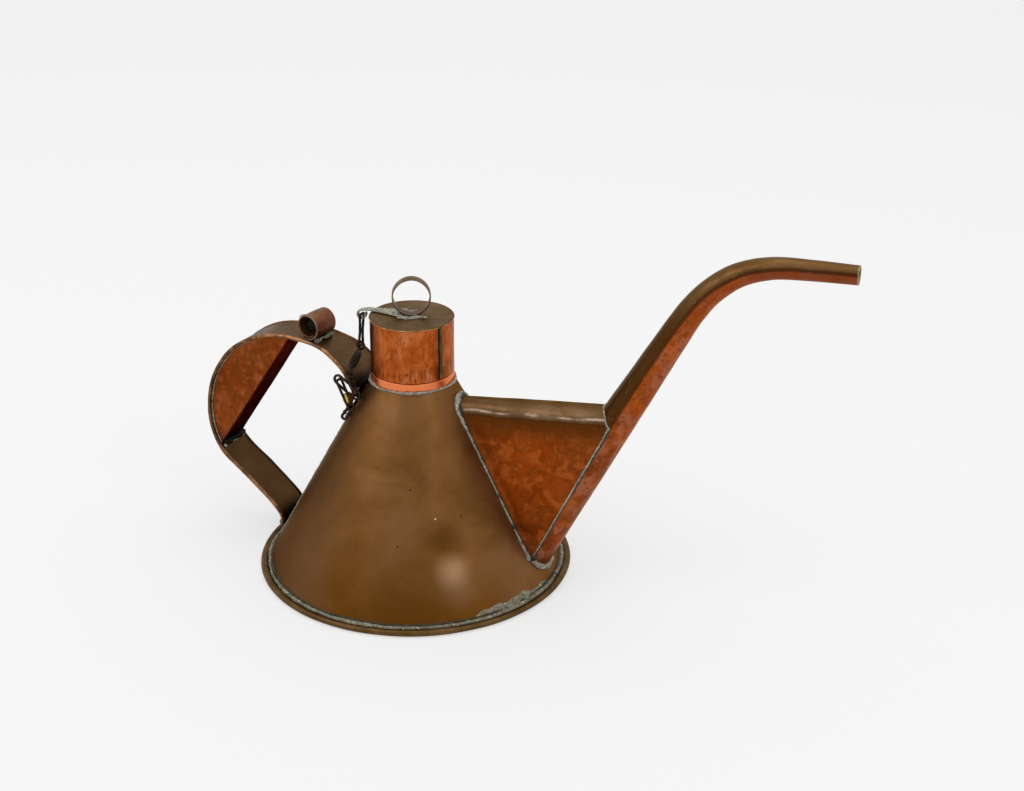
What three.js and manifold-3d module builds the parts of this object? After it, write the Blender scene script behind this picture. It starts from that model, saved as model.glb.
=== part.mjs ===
// Copper pouring can: a conical body on a flanged base, a swan-neck spout with a hollow web behind it,
// a strap handle with a boxed grip, and a slip cap that a short chain keeps on the can.
// Millimetres, +Z up. The origin is the centre of the base on the cone's axis, at the height it stands on.
// The spout points to +X. The handle and chain are drawn in a group of their own, turned a little.
import * as THREE from 'three';
import Module from 'manifold-3d';
import { mergeVertices } from 'three/addons/utils/BufferGeometryUtils.js';

const wasm = await Module();
wasm.setup();

// Sheet and gaps
const GAP = 0.3;
const TURNED_GAP = 0.4;
const SHEET = 1.0;
const BEAD_R = 0.9;

// Base and cone
const BASE_R = 100;
const BASE_EDGE_H = 4;
const BASE_FLOOR = 1.2;
const BASE_RIM_INNER_R = 95.2;
const BASE_DISC_R = 94.9;
const CONE_FOOT_Z = 1.5;
const CONE_TOP_Z = 125.7;
const CONE_TOP_R = 25.9;
const CONE_SLOPE = 0.552;
const CONE_SLANT = Math.hypot(1, CONE_SLOPE);
const ROUND = 48;
const BEAD_SIDES = 6;

// Neck and cap
const NECK_R = 24.4;
const NECK_BOTTOM_Z = 121;
const NECK_TOP_Z = 150;
const SHOULDER_TOP_Z = 131.7;
const CAP_R = 25.75;
const CAP_BOTTOM_Z = 132;
const CAP_TOP_Z = 167;
const LID_FACE_Z = CAP_TOP_Z + GAP;
const CAP_SEAM_ANGLE = -25;
const RING_R = 11.8;
const RING_BAND = 6.6;
const RING_SHEET = 0.8;
const RING_YAW = 22.6;
const TONGUE_ANGLE = 4.5;

// Spout: its line in the plane y = 0, and its outer radius by length along that line
const SPOUT_LINE = [
  [72.3, 10.75], [104.7, 68.8], [136.9, 126.9], [160.2, 169.2], [173, 191.6],
  [184.5, 206], [198.8, 216.8], [216.3, 222.8], [238.8, 224.3], [265, 224.7],
];
const SPOUT_ROOT_R = 15.27;
const SPOUT_TAPER = 0.0338;
const SPOUT_BEND_END = 263;
const SPOUT_END_TAPER = 0.018;
const SPOUT_TILT = Math.atan2(58.05, 32.3);
const SPOUT_SIDES = 18;
const SPOUT_STEPS = 22;

// The web's seams on the spout: how far they run, and their place around the spout from its underside
const SEAM_START = 18;
const SEAM_END = 117;
const SEAM_DEGREES_START = 68.5;
const SEAM_DEGREES_END = 88;
const WEB_EDGE_DROP = 5.49;
const WEB_EDGE_LEAN = 0.0542;

// Web between cone and spout: its crest, and how its half width changes over its side
const WEB_START_X = 20;
const WEB_END_X = 140;
const WEB_CONE_X = 31;
const WEB_DEPTH = 112;
const WEB_CREST_Z = 116.4;
const WEB_CREST_RISE = 0.082;
const WEB_HALF = 13.2;
const WEB_HALF_PER_X = 0.0434;
const WEB_HALF_PER_Z = -0.0559;
const WEB_CORNER_R = 9.5;
const WEB_SECTION_HALF = 10;

// Handle strap: its outer outline in the handle's own plane, from the upper root round to the lower root
const HANDLE_YAW = -6;
const STRAP_LINE = [
  [-26.6, 107.5], [-33.4, 118.6], [-40.8, 130.4], [-56, 139.5], [-79, 143.3], [-101, 140.8], [-121, 130.9],
  [-136, 114.8], [-145, 93.5], [-145.6, 70], [-138.5, 53], [-118, 36], [-98.5, 19], [-94.3, 13], [-93.6, 7.6],
];
const STRAP_SHEET = 1.2;
const STRAP_HALF = 14.25;
const STRAP_ROOT_HALF = 18;
const STRAP_FLARE_X = [-62, -38];
const EDGE_WIRE_R = 1.25;
const EDGE_GAP = 0.7;
const STRAP_STEPS = 42;
const FOOT_HALF = 15.2;
const FOOT_Z = [97, 112];

// Grip box and thumb roll
const CHORD_TOP = new THREE.Vector2(-82, 141);
const CHORD_BOTTOM = new THREE.Vector2(-139, 56);
const GRIP_FACE_Y = 11.4;
const ROLL_R = 8.2;
const ROLL_LENGTH = 18;
const ROLL_CENTRE = [-67.4, -1.5, 151];
const ROLL_YAW = -9;

// Chain: pivots in the handle's plane (x, z), and the two planes that the links hang in
const LID_EYE = [-31.5, 164.5];
const LONG_END = [-33, 143.5];
const FLAT_END = [-30.5, 131];
const LOOP_END = [-27, 118];
const ELBOW = [-39, 126];
const STAPLE = [-31, 109];
const LID_PLANE_Y = -6;
const STRAP_PLANE_Y = -24;
const WIRE = 1.7;
const EDGE_LINK_HALF = 2.6;
const SLOT_HALF = 2.0;
const EYE_R = 1.6;

const FINISHES = {
  patina: [0x6e5032, 0.42, 0.9],
  bright: [0xbe6434, 0.32, 1.0],
  red: [0x96502e, 0.38, 1.0],
  olive: [0x5a4b30, 0.5, 0.85],
  maroon: [0x3c1612, 0.4, 0.9],
  solder: [0x82826e, 0.65, 0.7],
  bronze: [0x2c2420, 0.4, 0.9],
  brass: [0xc8aa5a, 0.35, 1.0],
};

function add(parent, name, geometry, finish) {
  const [color, roughness, metalness] = FINISHES[finish];
  const material = new THREE.MeshStandardMaterial({ color, roughness, metalness });
  const mesh = new THREE.Mesh(geometry, material);
  mesh.name = name;
  parent.add(mesh);
  return mesh;
}

// One closed surface: shared vertices merged, flat triangles dropped, faces pointing out.
function closed(geometry) {
  const bare = geometry.clone();
  bare.deleteAttribute('normal');
  bare.deleteAttribute('uv');
  const merged = mergeVertices(bare, 1e-4);
  const index = merged.index.array;
  const at = merged.getAttribute('position');
  const corner = [new THREE.Vector3(), new THREE.Vector3(), new THREE.Vector3()];
  const kept = [];
  let volume = 0;
  for (let i = 0; i < index.length; i += 3) {
    const [a, b, c] = index.slice(i, i + 3);
    if (a === b || b === c || c === a) continue;
    [a, b, c].forEach((v, k) => corner[k].fromBufferAttribute(at, v));
    volume += corner[0].dot(corner[1].cross(corner[2]));
    kept.push(a, b, c);
  }
  if (volume < 0) kept.reverse();
  merged.setIndex(kept);
  return merged;
}

function solid(geometry) {
  const { index, attributes } = closed(geometry);
  const vertProperties = new Float32Array(attributes.position.array);
  const triVerts = new Uint32Array(index.array);
  return new wasm.Manifold(new wasm.Mesh({ numProp: 3, vertProperties, triVerts }));
}

function shape(manifold) {
  const { vertProperties, triVerts } = manifold.getMesh();
  const geometry = new THREE.BufferGeometry();
  geometry.setAttribute('position', new THREE.BufferAttribute(new Float32Array(vertProperties), 3));
  geometry.setIndex(Array.from(triVerts));
  return geometry;
}

function vectors(points) {
  return points.map(([x, y, z]) => new THREE.Vector3(x, y, z));
}

// A body turned about Z. The profile is [radius, height] and starts and ends on the axis, or is a ring.
function turned(profile, segments = ROUND) {
  const points = profile.map(([r, z]) => new THREE.Vector2(r, z));
  return closed(new THREE.LatheGeometry(points, segments).rotateX(Math.PI / 2));
}

function turnedRing(profile, segments = ROUND) {
  return turned([...profile, profile[0]], segments);
}

function tube(outer, inner, bottom, top, segments = ROUND) {
  return turnedRing([[inner, bottom], [outer, bottom], [outer, top], [inner, top]], segments);
}

function disc(radius, bottom, top) {
  return turned([[0, bottom], [radius, bottom], [radius, top], [0, top]]);
}

function polygon(radius, sides) {
  const corners = Array.from({ length: sides }, (_, i) => {
    const angle = (2 * Math.PI * i) / sides;
    return new THREE.Vector2(radius * Math.cos(angle), radius * Math.sin(angle));
  });
  return new THREE.Shape(corners);
}

// A round bead or wire laid through the points.
function bead(points, radius, steps, sides = BEAD_SIDES) {
  const extrudePath = new THREE.CatmullRomCurve3(points);
  const options = { extrudePath, steps, bevelEnabled: false };
  return closed(new THREE.ExtrudeGeometry(polygon(radius, sides), options));
}

// A flat outline in the x-z plane, given depth along y and centred on y.
function plate(outline, depth, y = 0) {
  const options = { depth, bevelEnabled: false };
  const geometry = new THREE.ExtrudeGeometry(outline, options);
  return closed(geometry.rotateX(Math.PI / 2).translate(0, depth / 2 + y, 0));
}

function block(x, y, z) {
  const size = [x[1] - x[0], y[1] - y[0], z[1] - z[0]];
  const middle = [(x[0] + x[1]) / 2, (y[0] + y[1]) / 2, (z[0] + z[1]) / 2];
  return solid(new THREE.BoxGeometry(...size).translate(...middle));
}

function coneRadius(z) {
  return CONE_TOP_R + CONE_SLOPE * (CONE_TOP_Z - z);
}

function coneOffset(z, offset) {
  return coneRadius(z) + offset * CONE_SLANT;
}

// The whole cone as a solid, grown by an offset, for cutting what is soldered to it.
function coneSolid(offset) {
  const low = -10;
  const profile = [[0, low], [coneOffset(low, offset), low], [coneOffset(CONE_TOP_Z, offset), CONE_TOP_Z]];
  return solid(turned([...profile, [0, CONE_TOP_Z]]));
}

// ---------------------------------------------------------------- base, cone and neck

function baseRim() {
  const edge = [[BASE_R - 0.8, 0], [BASE_R, 0.9], [BASE_R, 3], [BASE_R - 0.9, BASE_EDGE_H]];
  const lip = [[BASE_RIM_INNER_R + 1, BASE_EDGE_H], [BASE_RIM_INNER_R, 3.2]];
  return turnedRing([[BASE_RIM_INNER_R, 0], ...edge, ...lip]);
}

function conePanel() {
  const ends = [CONE_FOOT_Z, CONE_TOP_Z];
  const outer = ends.map((z) => [coneRadius(z), z]);
  const inner = ends.map((z) => [coneOffset(z, -SHEET), z]).reverse();
  const panel = solid(turnedRing([...outer, ...inner]));
  return shape(panel.subtract(spoutSolid(-SHEET)));
}

function torusBead(r, z, radius, segments = ROUND) {
  const sides = Array.from({ length: BEAD_SIDES }, (_, i) => {
    const angle = (2 * Math.PI * i) / BEAD_SIDES;
    return [r + radius * Math.cos(angle), z + radius * Math.sin(angle)];
  });
  return turnedRing(sides, segments);
}

// ---------------------------------------------------------------- spout

const spoutCurve = new THREE.CatmullRomCurve3(vectors(SPOUT_LINE.map(([x, z]) => [x, 0, z])));
const spoutLength = spoutCurve.getLength();

function spoutRadius(s) {
  const bendEndR = SPOUT_ROOT_R - SPOUT_TAPER * SPOUT_BEND_END;
  if (s > SPOUT_BEND_END) return bendEndR - SPOUT_END_TAPER * (s - SPOUT_BEND_END);
  return SPOUT_ROOT_R - SPOUT_TAPER * s;
}

// Carries a body turned about its own line onto the spout's line.
function bendToSpout(geometry) {
  const at = geometry.getAttribute('position');
  for (let i = 0; i < at.count; i += 1) {
    const t = THREE.MathUtils.clamp(at.getY(i) / spoutLength, 0, 1);
    const centre = spoutCurve.getPointAt(t);
    const along = spoutCurve.getTangentAt(t);
    const across = at.getX(i);
    at.setXYZ(i, centre.x - across * along.z, at.getZ(i), centre.z + across * along.x);
  }
  return closed(geometry);
}

function spoutStations(count) {
  return Array.from({ length: count + 1 }, (_, i) => (spoutLength * i) / count);
}

function spoutSolid(offset) {
  const side = spoutStations(SPOUT_STEPS).map((s) => new THREE.Vector2(spoutRadius(s) + offset, s));
  const profile = [new THREE.Vector2(0, 0), ...side, new THREE.Vector2(0, spoutLength)];
  return solid(bendToSpout(new THREE.LatheGeometry(profile, SPOUT_SIDES)));
}

function spoutTube() {
  const stations = spoutStations(SPOUT_STEPS);
  const outer = stations.map((s) => new THREE.Vector2(spoutRadius(s), s));
  const inner = stations.map((s) => new THREE.Vector2(spoutRadius(s) - SHEET, s)).reverse();
  const tubeShape = solid(bendToSpout(new THREE.LatheGeometry([...outer, ...inner, outer[0]], SPOUT_SIDES)));
  return shape(tubeShape.subtract(coneSolid(GAP)));
}

// A point on or off the spout's surface: angle 0 is its underside, 90 the side towards -Y.
function besideSpout(s, angle, offset) {
  const centre = spoutCurve.getPointAt(s / spoutLength);
  const along = spoutCurve.getTangentAt(s / spoutLength);
  const radius = spoutRadius(s) + offset;
  const down = radius * Math.cos(angle);
  return new THREE.Vector3(centre.x + down * along.z, -radius * Math.sin(angle), centre.z - down * along.x);
}

// The place along one line of the spout's surface where that line leaves the cone.
function spoutLeavesCone(angle, offset) {
  let inside = 0;
  let outside = 60;
  for (let i = 0; i < 30; i += 1) {
    const s = (inside + outside) / 2;
    const p = besideSpout(s, angle, offset);
    if (Math.hypot(p.x, p.y) > coneOffset(p.z, offset)) outside = s;
    else inside = s;
  }
  return besideSpout(outside, angle, offset);
}

function spoutRootSolder() {
  const clear = BEAD_R + GAP;
  const points = [];
  for (let degrees = -60; degrees <= 60; degrees += 15) {
    points.push(spoutLeavesCone(THREE.MathUtils.degToRad(degrees), clear));
  }
  const ring = solid(bead(points, 1.3, 16));
  return shape(ring.subtract(spoutSolid(GAP)).subtract(coneSolid(GAP)));
}

function webSpoutSolder(side) {
  const points = [0, 0.25, 0.5, 0.75, 1].map((t) => {
    const degrees = THREE.MathUtils.lerp(SEAM_DEGREES_START, SEAM_DEGREES_END, t);
    const s = THREE.MathUtils.lerp(SEAM_START, SEAM_END, t);
    return besideSpout(s, side * THREE.MathUtils.degToRad(degrees), BEAD_R + GAP);
  });
  return bead(points, BEAD_R, 8);
}

// ---------------------------------------------------------------- web

function webHalf(x, z) {
  return WEB_HALF + WEB_HALF_PER_X * x + WEB_HALF_PER_Z * z;
}

function webCrest(x) {
  return WEB_CREST_Z + WEB_CREST_RISE * (x - WEB_START_X);
}

// The folded web as a full wedge, grown or shrunk by an offset.
function webSolid(offset) {
  const half = WEB_SECTION_HALF;
  const flat = half - WEB_CORNER_R;
  const section = new THREE.Shape();
  section.moveTo(-half, -WEB_DEPTH);
  section.lineTo(half, -WEB_DEPTH);
  section.lineTo(half, -WEB_CORNER_R);
  section.absarc(flat, -WEB_CORNER_R, WEB_CORNER_R, 0, Math.PI / 2);
  section.absarc(-flat, -WEB_CORNER_R, WEB_CORNER_R, Math.PI / 2, Math.PI);
  const options = { depth: WEB_END_X - WEB_START_X, steps: 2, curveSegments: 6, bevelEnabled: false };
  const geometry = new THREE.ExtrudeGeometry(section, options);
  const at = geometry.getAttribute('position');
  for (let i = 0; i < at.count; i += 1) {
    const x = WEB_START_X + at.getZ(i);
    const z = webCrest(x) + at.getY(i) + offset;
    at.setXYZ(i, x, (at.getX(i) / half) * (webHalf(x, z) + offset), z);
  }
  return solid(geometry);
}

// Everything beyond the web's straight edge, which leans a little across the spout's own line.
function beyondWebEdge() {
  const reach = 200;
  const slab = new THREE.BoxGeometry(reach, reach, 3 * reach).translate(reach / 2, 0, 0);
  const lean = SPOUT_TILT + Math.atan(WEB_EDGE_LEAN);
  const x = SPOUT_LINE[0][0] + WEB_EDGE_DROP * Math.sin(SPOUT_TILT);
  const z = SPOUT_LINE[0][1] - WEB_EDGE_DROP * Math.cos(SPOUT_TILT);
  return solid(slab.rotateY(Math.PI / 2 - lean).translate(x, 0, z));
}

function spoutWeb() {
  const shell = webSolid(0).subtract(webSolid(-SHEET)).subtract(beyondWebEdge());
  return shape(shell.subtract(coneSolid(GAP)).subtract(spoutSolid(GAP)));
}

// A point beside the web's edge on the cone: side is -1 in front, 1 behind.
function besideWeb(z, side) {
  const clear = BEAD_R + GAP;
  const r = coneOffset(z, clear);
  let x = r;
  for (let i = 0; i < 5; i += 1) {
    x = Math.sqrt(r * r - (webHalf(x, z) + clear) ** 2);
  }
  return new THREE.Vector3(x, side * (webHalf(x, z) + clear), z);
}

function webConeSolder() {
  const clear = BEAD_R + GAP;
  const heights = [28, 50, 70, 90, 103];
  const half = webHalf(WEB_CONE_X, WEB_CREST_Z) + clear;
  const low = webCrest(WEB_CONE_X) - WEB_CORNER_R;
  const crest = [150, 120, 90, 60, 30].map((degrees) => {
    const angle = THREE.MathUtils.degToRad(degrees);
    const y = half * Math.cos(angle);
    const z = low + (WEB_CORNER_R + clear) * Math.sin(angle);
    return new THREE.Vector3(Math.sqrt(coneOffset(z, clear) ** 2 - y * y), y, z);
  });
  const front = heights.map((z) => besideWeb(z, -1));
  const back = heights.map((z) => besideWeb(z, 1)).reverse();
  const line = solid(bead([...front, ...crest, ...back], BEAD_R, 30));
  return shape(line.subtract(webSolid(GAP)).subtract(coneSolid(GAP)));
}

// ---------------------------------------------------------------- cap

function capRing() {
  const band = tube(RING_R, RING_R - RING_SHEET, -RING_BAND / 2, RING_BAND / 2, 30);
  return band.rotateX(Math.PI / 2);
}

function capTongue() {
  const corners = [[-6, 6.5], [-6, -6.5], [-24, -2.4], [-31.6, -1.8], [-31.6, 1.8], [-24, 2.4]];
  const outline = new THREE.Shape(corners.map(([x, y]) => new THREE.Vector2(x, y)));
  const strip = new THREE.ExtrudeGeometry(outline, { depth: 0.8, bevelEnabled: false });
  const turn = THREE.MathUtils.degToRad(TONGUE_ANGLE);
  const onLid = solid(strip.translate(0, 0, LID_FACE_Z).rotateZ(turn));
  const eye = eyeGeometry(EYE_R, 1.5, 1.5).translate(LID_EYE[0], LID_PLANE_Y, LID_EYE[1]);
  const yaw = THREE.MathUtils.degToRad(HANDLE_YAW);
  return shape(onLid.add(solid(eye.rotateZ(yaw))));
}

function capSolder() {
  const lump = solid(new THREE.SphereGeometry(1, 16, 8).scale(8, 1.8, 1.3));
  return shape(lump.subtract(block([-10, 10], [-4, 4], [-3, 0])));
}

// ---------------------------------------------------------------- handle

const strapCurve = new THREE.CatmullRomCurve3(vectors(STRAP_LINE.map(([x, z]) => [x, 0, z])));

function strapHalf(x) {
  const flare = THREE.MathUtils.smoothstep(x, ...STRAP_FLARE_X);
  return THREE.MathUtils.lerp(STRAP_HALF, STRAP_ROOT_HALF, flare);
}

// Points along the strap, moved in from its outer face, as [x, z].
function strapPoints(inset, count) {
  return Array.from({ length: count + 1 }, (_, i) => {
    const p = strapCurve.getPointAt(i / count);
    const along = strapCurve.getTangentAt(i / count);
    return new THREE.Vector2(p.x - inset * along.z, p.z + inset * along.x);
  });
}

function handleStrap() {
  const outer = strapPoints(0, STRAP_STEPS);
  const inner = strapPoints(STRAP_SHEET, STRAP_STEPS);
  const outline = new THREE.Shape([...outer, ...inner.reverse()]);
  const band = plate(outline, 2);
  const at = band.getAttribute('position');
  for (let i = 0; i < at.count; i += 1) {
    const half = strapHalf(at.getX(i)) - 2 * EDGE_WIRE_R - EDGE_GAP;
    at.setY(i, Math.sign(at.getY(i)) * half);
  }
  const foot = coneSolid(TURNED_GAP + STRAP_SHEET).subtract(coneSolid(TURNED_GAP));
  const footEnd = foot.intersect(block([-60, 0], [-FOOT_HALF, FOOT_HALF], FOOT_Z));
  return shape(solid(band).subtract(coneSolid(TURNED_GAP)).add(footEnd));
}

function handleEdgeWire(side) {
  const points = strapPoints(STRAP_SHEET / 2, STRAP_STEPS).map((p) => {
    return new THREE.Vector3(p.x, side * (strapHalf(p.x) - EDGE_WIRE_R), p.y);
  });
  return shape(solid(bead(points, EDGE_WIRE_R, STRAP_STEPS)).subtract(coneSolid(TURNED_GAP)));
}

// Everything on the open side of the grip's chord, moved towards the grip by an offset.
function openSideOfChord(offset) {
  const along = CHORD_TOP.clone().sub(CHORD_BOTTOM);
  const slab = new THREE.BoxGeometry(200, 80, 400).translate(100 - offset, 0, 0);
  const tilt = Math.atan2(along.x, along.y);
  return solid(slab.rotateY(tilt).translate(CHORD_BOTTOM.x, 0, CHORD_BOTTOM.y));
}

// The D that the strap's inner face and the chord enclose.
function gripOutline(inset) {
  const inside = strapPoints(inset, 100).filter((p) => p.x < -64 && p.y > 38);
  return new THREE.Shape(inside);
}

function gripPanel(side) {
  const y = side * (GRIP_FACE_Y - SHEET / 2);
  const panel = solid(plate(gripOutline(STRAP_SHEET + TURNED_GAP), SHEET, y));
  return shape(panel.subtract(openSideOfChord(SHEET + GAP)));
}

function gripChordPlate() {
  const filled = solid(plate(gripOutline(STRAP_SHEET + TURNED_GAP), 2 * GRIP_FACE_Y));
  const rest = filled.subtract(openSideOfChord(SHEET));
  return shape(filled.subtract(openSideOfChord(0)).subtract(rest));
}

// Solder along the corner between a grip panel and the strap.
function gripSolder(side) {
  const radius = 0.6;
  const inset = EDGE_WIRE_R + STRAP_SHEET / 2 + GAP + radius;
  const y = side * (GRIP_FACE_Y + GAP + radius);
  const line = strapPoints(inset, 60).filter((p) => p.x < -88 && (p.x < -120 || p.y > 80) && p.y > 60);
  return bead(line.map((p) => new THREE.Vector3(p.x, y, p.y)), radius, 22);
}

function thumbRoll() {
  const turns = Array.from({ length: 29 }, (_, i) => i / 28);
  const spiral = (t, inset) => {
    const angle = -Math.PI / 2 + 2 * Math.PI * 1.12 * t;
    const radius = ROLL_R - inset - 1.6 * t;
    return new THREE.Vector2(radius * Math.cos(angle), radius * Math.sin(angle));
  };
  const outer = turns.map((t) => spiral(t, 0));
  const inner = turns.map((t) => spiral(t, SHEET)).reverse();
  return plate(new THREE.Shape([...outer, ...inner]), ROLL_LENGTH);
}

function lyingCapsule(radius, length) {
  return closed(new THREE.CapsuleGeometry(radius, length, 3, 8));
}

function upperHandleSolder() {
  const z = FOOT_Z[0] - 1.7;
  const r = coneOffset(z, BEAD_R + TURNED_GAP);
  const points = [-20, -10, 0, 10, 20].map((degrees) => {
    const angle = Math.PI + THREE.MathUtils.degToRad(degrees);
    return new THREE.Vector3(r * Math.cos(angle), r * Math.sin(angle), z);
  });
  return bead(points, BEAD_R, 12);
}

// ---------------------------------------------------------------- chain

// A round flat eye in the x-z plane, centred on the origin.
function eyeGeometry(holeR, band, depth) {
  const outline = polygon(holeR + band, 16);
  outline.holes.push(polygon(holeR, 16));
  return plate(outline, depth);
}

function roundedOutline(Path, half, bottom, top, radius) {
  const outline = new Path();
  outline.moveTo(half, bottom + radius);
  outline.lineTo(half, top - radius);
  outline.absarc(half - radius, top - radius, radius, 0, Math.PI / 2);
  outline.absarc(radius - half, top - radius, radius, Math.PI / 2, Math.PI);
  outline.absarc(radius - half, bottom + radius, radius, Math.PI, 1.5 * Math.PI);
  outline.absarc(half - radius, bottom + radius, radius, 1.5 * Math.PI, 2 * Math.PI);
  return outline;
}

// A wire link drawn as a loop with its first pivot at the origin and its second straight below.
function loopLink(length, outerHalf, endReach, innerHalf, holeReach, radii) {
  const outline = roundedOutline(THREE.Shape, outerHalf, -length - endReach, endReach, radii[0]);
  outline.holes.push(roundedOutline(THREE.Path, innerHalf, -length - holeReach, holeReach, radii[1]));
  const geometry = new THREE.ExtrudeGeometry(outline, { depth: WIRE, curveSegments: 4, bevelEnabled: false });
  return geometry.translate(0, 0, -WIRE / 2).rotateX(Math.PI / 2);
}

// Seen edge on: its end wires lie along the pivots.
function edgeLink(length) {
  const outer = EDGE_LINK_HALF + WIRE / 2;
  const inner = EDGE_LINK_HALF - WIRE / 2;
  const link = loopLink(length, outer, WIRE / 2, inner, -WIRE / 2, [1.4, 0.5]);
  return closed(link.rotateZ(Math.PI / 2));
}

// Seen flat: its slot holds the end wires of its neighbours.
function slotLink(length) {
  const outer = SLOT_HALF + WIRE;
  return closed(loopLink(length, outer, outer, SLOT_HALF, SLOT_HALF, [outer, SLOT_HALF]));
}

function bar(from, to, radius) {
  const along = to.clone().sub(from);
  const geometry = new THREE.CylinderGeometry(radius, radius, along.length(), 10);
  const up = new THREE.Vector3(0, 1, 0);
  const turn = new THREE.Quaternion().setFromUnitVectors(up, along.clone().normalize());
  const middle = from.clone().lerp(to, 0.5);
  return geometry.applyQuaternion(turn).translate(middle.x, middle.y, middle.z);
}

// Hangs a link from one pivot towards the next.
function hang(mesh, from, to, y) {
  mesh.position.set(from[0], y, from[1]);
  mesh.rotation.y = Math.atan2(from[0] - to[0], from[1] - to[1]);
}

function pivotDistance(from, to) {
  return Math.hypot(from[0] - to[0], from[1] - to[1]);
}

// Two eyes joined by a bar that crosses from the lid's plane to the strap's.
function flatLink() {
  const reach = EYE_R + 0.9;
  const upper = eyeGeometry(EYE_R, 1.6, WIRE).translate(LONG_END[0], LID_PLANE_Y, LONG_END[1]);
  const lower = eyeGeometry(EYE_R, 1.6, WIRE).translate(FLAT_END[0], STRAP_PLANE_Y, FLAT_END[1]);
  const from = new THREE.Vector3(LONG_END[0], LID_PLANE_Y, LONG_END[1] - reach);
  const to = new THREE.Vector3(FLAT_END[0], STRAP_PLANE_Y, FLAT_END[1] + reach);
  return shape(solid(upper).add(solid(lower)).add(solid(bar(from, to, 0.95))));
}

function chainStaple() {
  const eye = eyeGeometry(EYE_R, 1.6, WIRE).translate(STAPLE[0], STRAP_PLANE_Y, STAPLE[1]);
  const from = new THREE.Vector3(STAPLE[0] - 1.8, STRAP_PLANE_Y, STAPLE[1] - 1.8);
  const stem = bar(from, new THREE.Vector3(-41.6, -14, 99), 0.85);
  return shape(solid(eye).add(solid(stem)));
}

function ferrule() {
  const hole = [EDGE_LINK_HALF + WIRE / 2 + TURNED_GAP, WIRE / 2 + TURNED_GAP];
  const wall = 0.7;
  const outline = roundedOutline(THREE.Shape, hole[0] + wall, -hole[1] - wall, hole[1] + wall, 1.2);
  outline.holes.push(roundedOutline(THREE.Path, hole[0], -hole[1], hole[1], 0.6));
  const sleeve = new THREE.ExtrudeGeometry(outline, { depth: 4, curveSegments: 2, bevelEnabled: false });
  return closed(sleeve.rotateZ(Math.PI / 2).translate(0, 0, -15.2));
}

// ---------------------------------------------------------------- assembly

const can = new THREE.Group();

add(can, 'base_plate', disc(BASE_DISC_R, 0, BASE_FLOOR), 'olive');
add(can, 'base_rim', baseRim(), 'olive');
add(can, 'base_solder', torusBead(94.5, 5.5, 1.15), 'solder');
add(can, 'cone_body', conePanel(), 'patina');
add(can, 'neck_tube', tube(NECK_R, NECK_R - SHEET, NECK_BOTTOM_Z, NECK_TOP_Z), 'bright');
add(can, 'neck_shoulder_ring', tube(25.7, NECK_R + GAP, CONE_TOP_Z + GAP, SHOULDER_TOP_Z), 'bright');
add(can, 'neck_solder', torusBead(27.4, 126.7, 1.1), 'solder');

add(can, 'spout_tube', spoutTube(), 'red');
add(can, 'spout_root_solder', spoutRootSolder(), 'solder');
add(can, 'spout_web', spoutWeb(), 'red');
add(can, 'web_cone_solder', webConeSolder(), 'solder');
add(can, 'web_spout_solder_front', webSpoutSolder(1), 'solder');
add(can, 'web_spout_solder_back', webSpoutSolder(-1), 'solder');

add(can, 'cap_side', tube(CAP_R, CAP_R - SHEET, CAP_BOTTOM_Z, CAP_TOP_Z - SHEET - GAP), 'bright');
add(can, 'cap_top', disc(CAP_R, CAP_TOP_Z - SHEET, CAP_TOP_Z), 'olive');
const seamStrip = add(can, 'cap_seam_strip', new THREE.BoxGeometry(0.6, 2.2, 33), 'solder');
seamStrip.rotation.z = THREE.MathUtils.degToRad(CAP_SEAM_ANGLE);
seamStrip.position.set(CAP_R + 0.65, 0, 149).applyAxisAngle(new THREE.Vector3(0, 0, 1), seamStrip.rotation.z);
const ringMesh = add(can, 'cap_ring', capRing(), 'patina');
ringMesh.rotation.z = THREE.MathUtils.degToRad(RING_YAW);
ringMesh.position.z = LID_FACE_Z + RING_R;
add(can, 'cap_tongue', capTongue(), 'solder');
const lump = add(can, 'cap_solder', capSolder(), 'solder');
lump.rotation.z = ringMesh.rotation.z;
lump.position.set(3.4, -5.5, LID_FACE_Z).applyAxisAngle(new THREE.Vector3(0, 0, 1), lump.rotation.z);

const handle = new THREE.Group();
handle.rotation.z = THREE.MathUtils.degToRad(HANDLE_YAW);
can.add(handle);

add(handle, 'handle_strap', handleStrap(), 'olive');
add(handle, 'handle_edge_wire_front', handleEdgeWire(-1), 'bright');
add(handle, 'handle_edge_wire_back', handleEdgeWire(1), 'bright');
add(handle, 'grip_front_panel', gripPanel(-1), 'red');
add(handle, 'grip_back_panel', gripPanel(1), 'red');
add(handle, 'grip_chord_plate', gripChordPlate(), 'maroon');
add(handle, 'grip_solder_front', gripSolder(-1), 'solder');
add(handle, 'grip_solder_back', gripSolder(1), 'solder');
add(handle, 'upper_handle_solder', upperHandleSolder(), 'solder');
const footSolder = add(handle, 'lower_handle_solder', lyingCapsule(1, 20), 'solder');
footSolder.position.set(-95.4, 0, 8.4);
const roll = add(handle, 'thumb_roll', thumbRoll(), 'red');
roll.rotation.z = THREE.MathUtils.degToRad(ROLL_YAW);
roll.position.set(...ROLL_CENTRE);
const rollSolder = add(handle, 'thumb_roll_solder', lyingCapsule(0.9, 13), 'solder');
rollSolder.rotation.z = roll.rotation.z;
rollSolder.position.set(-61.3, -2, 142.5);

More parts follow.
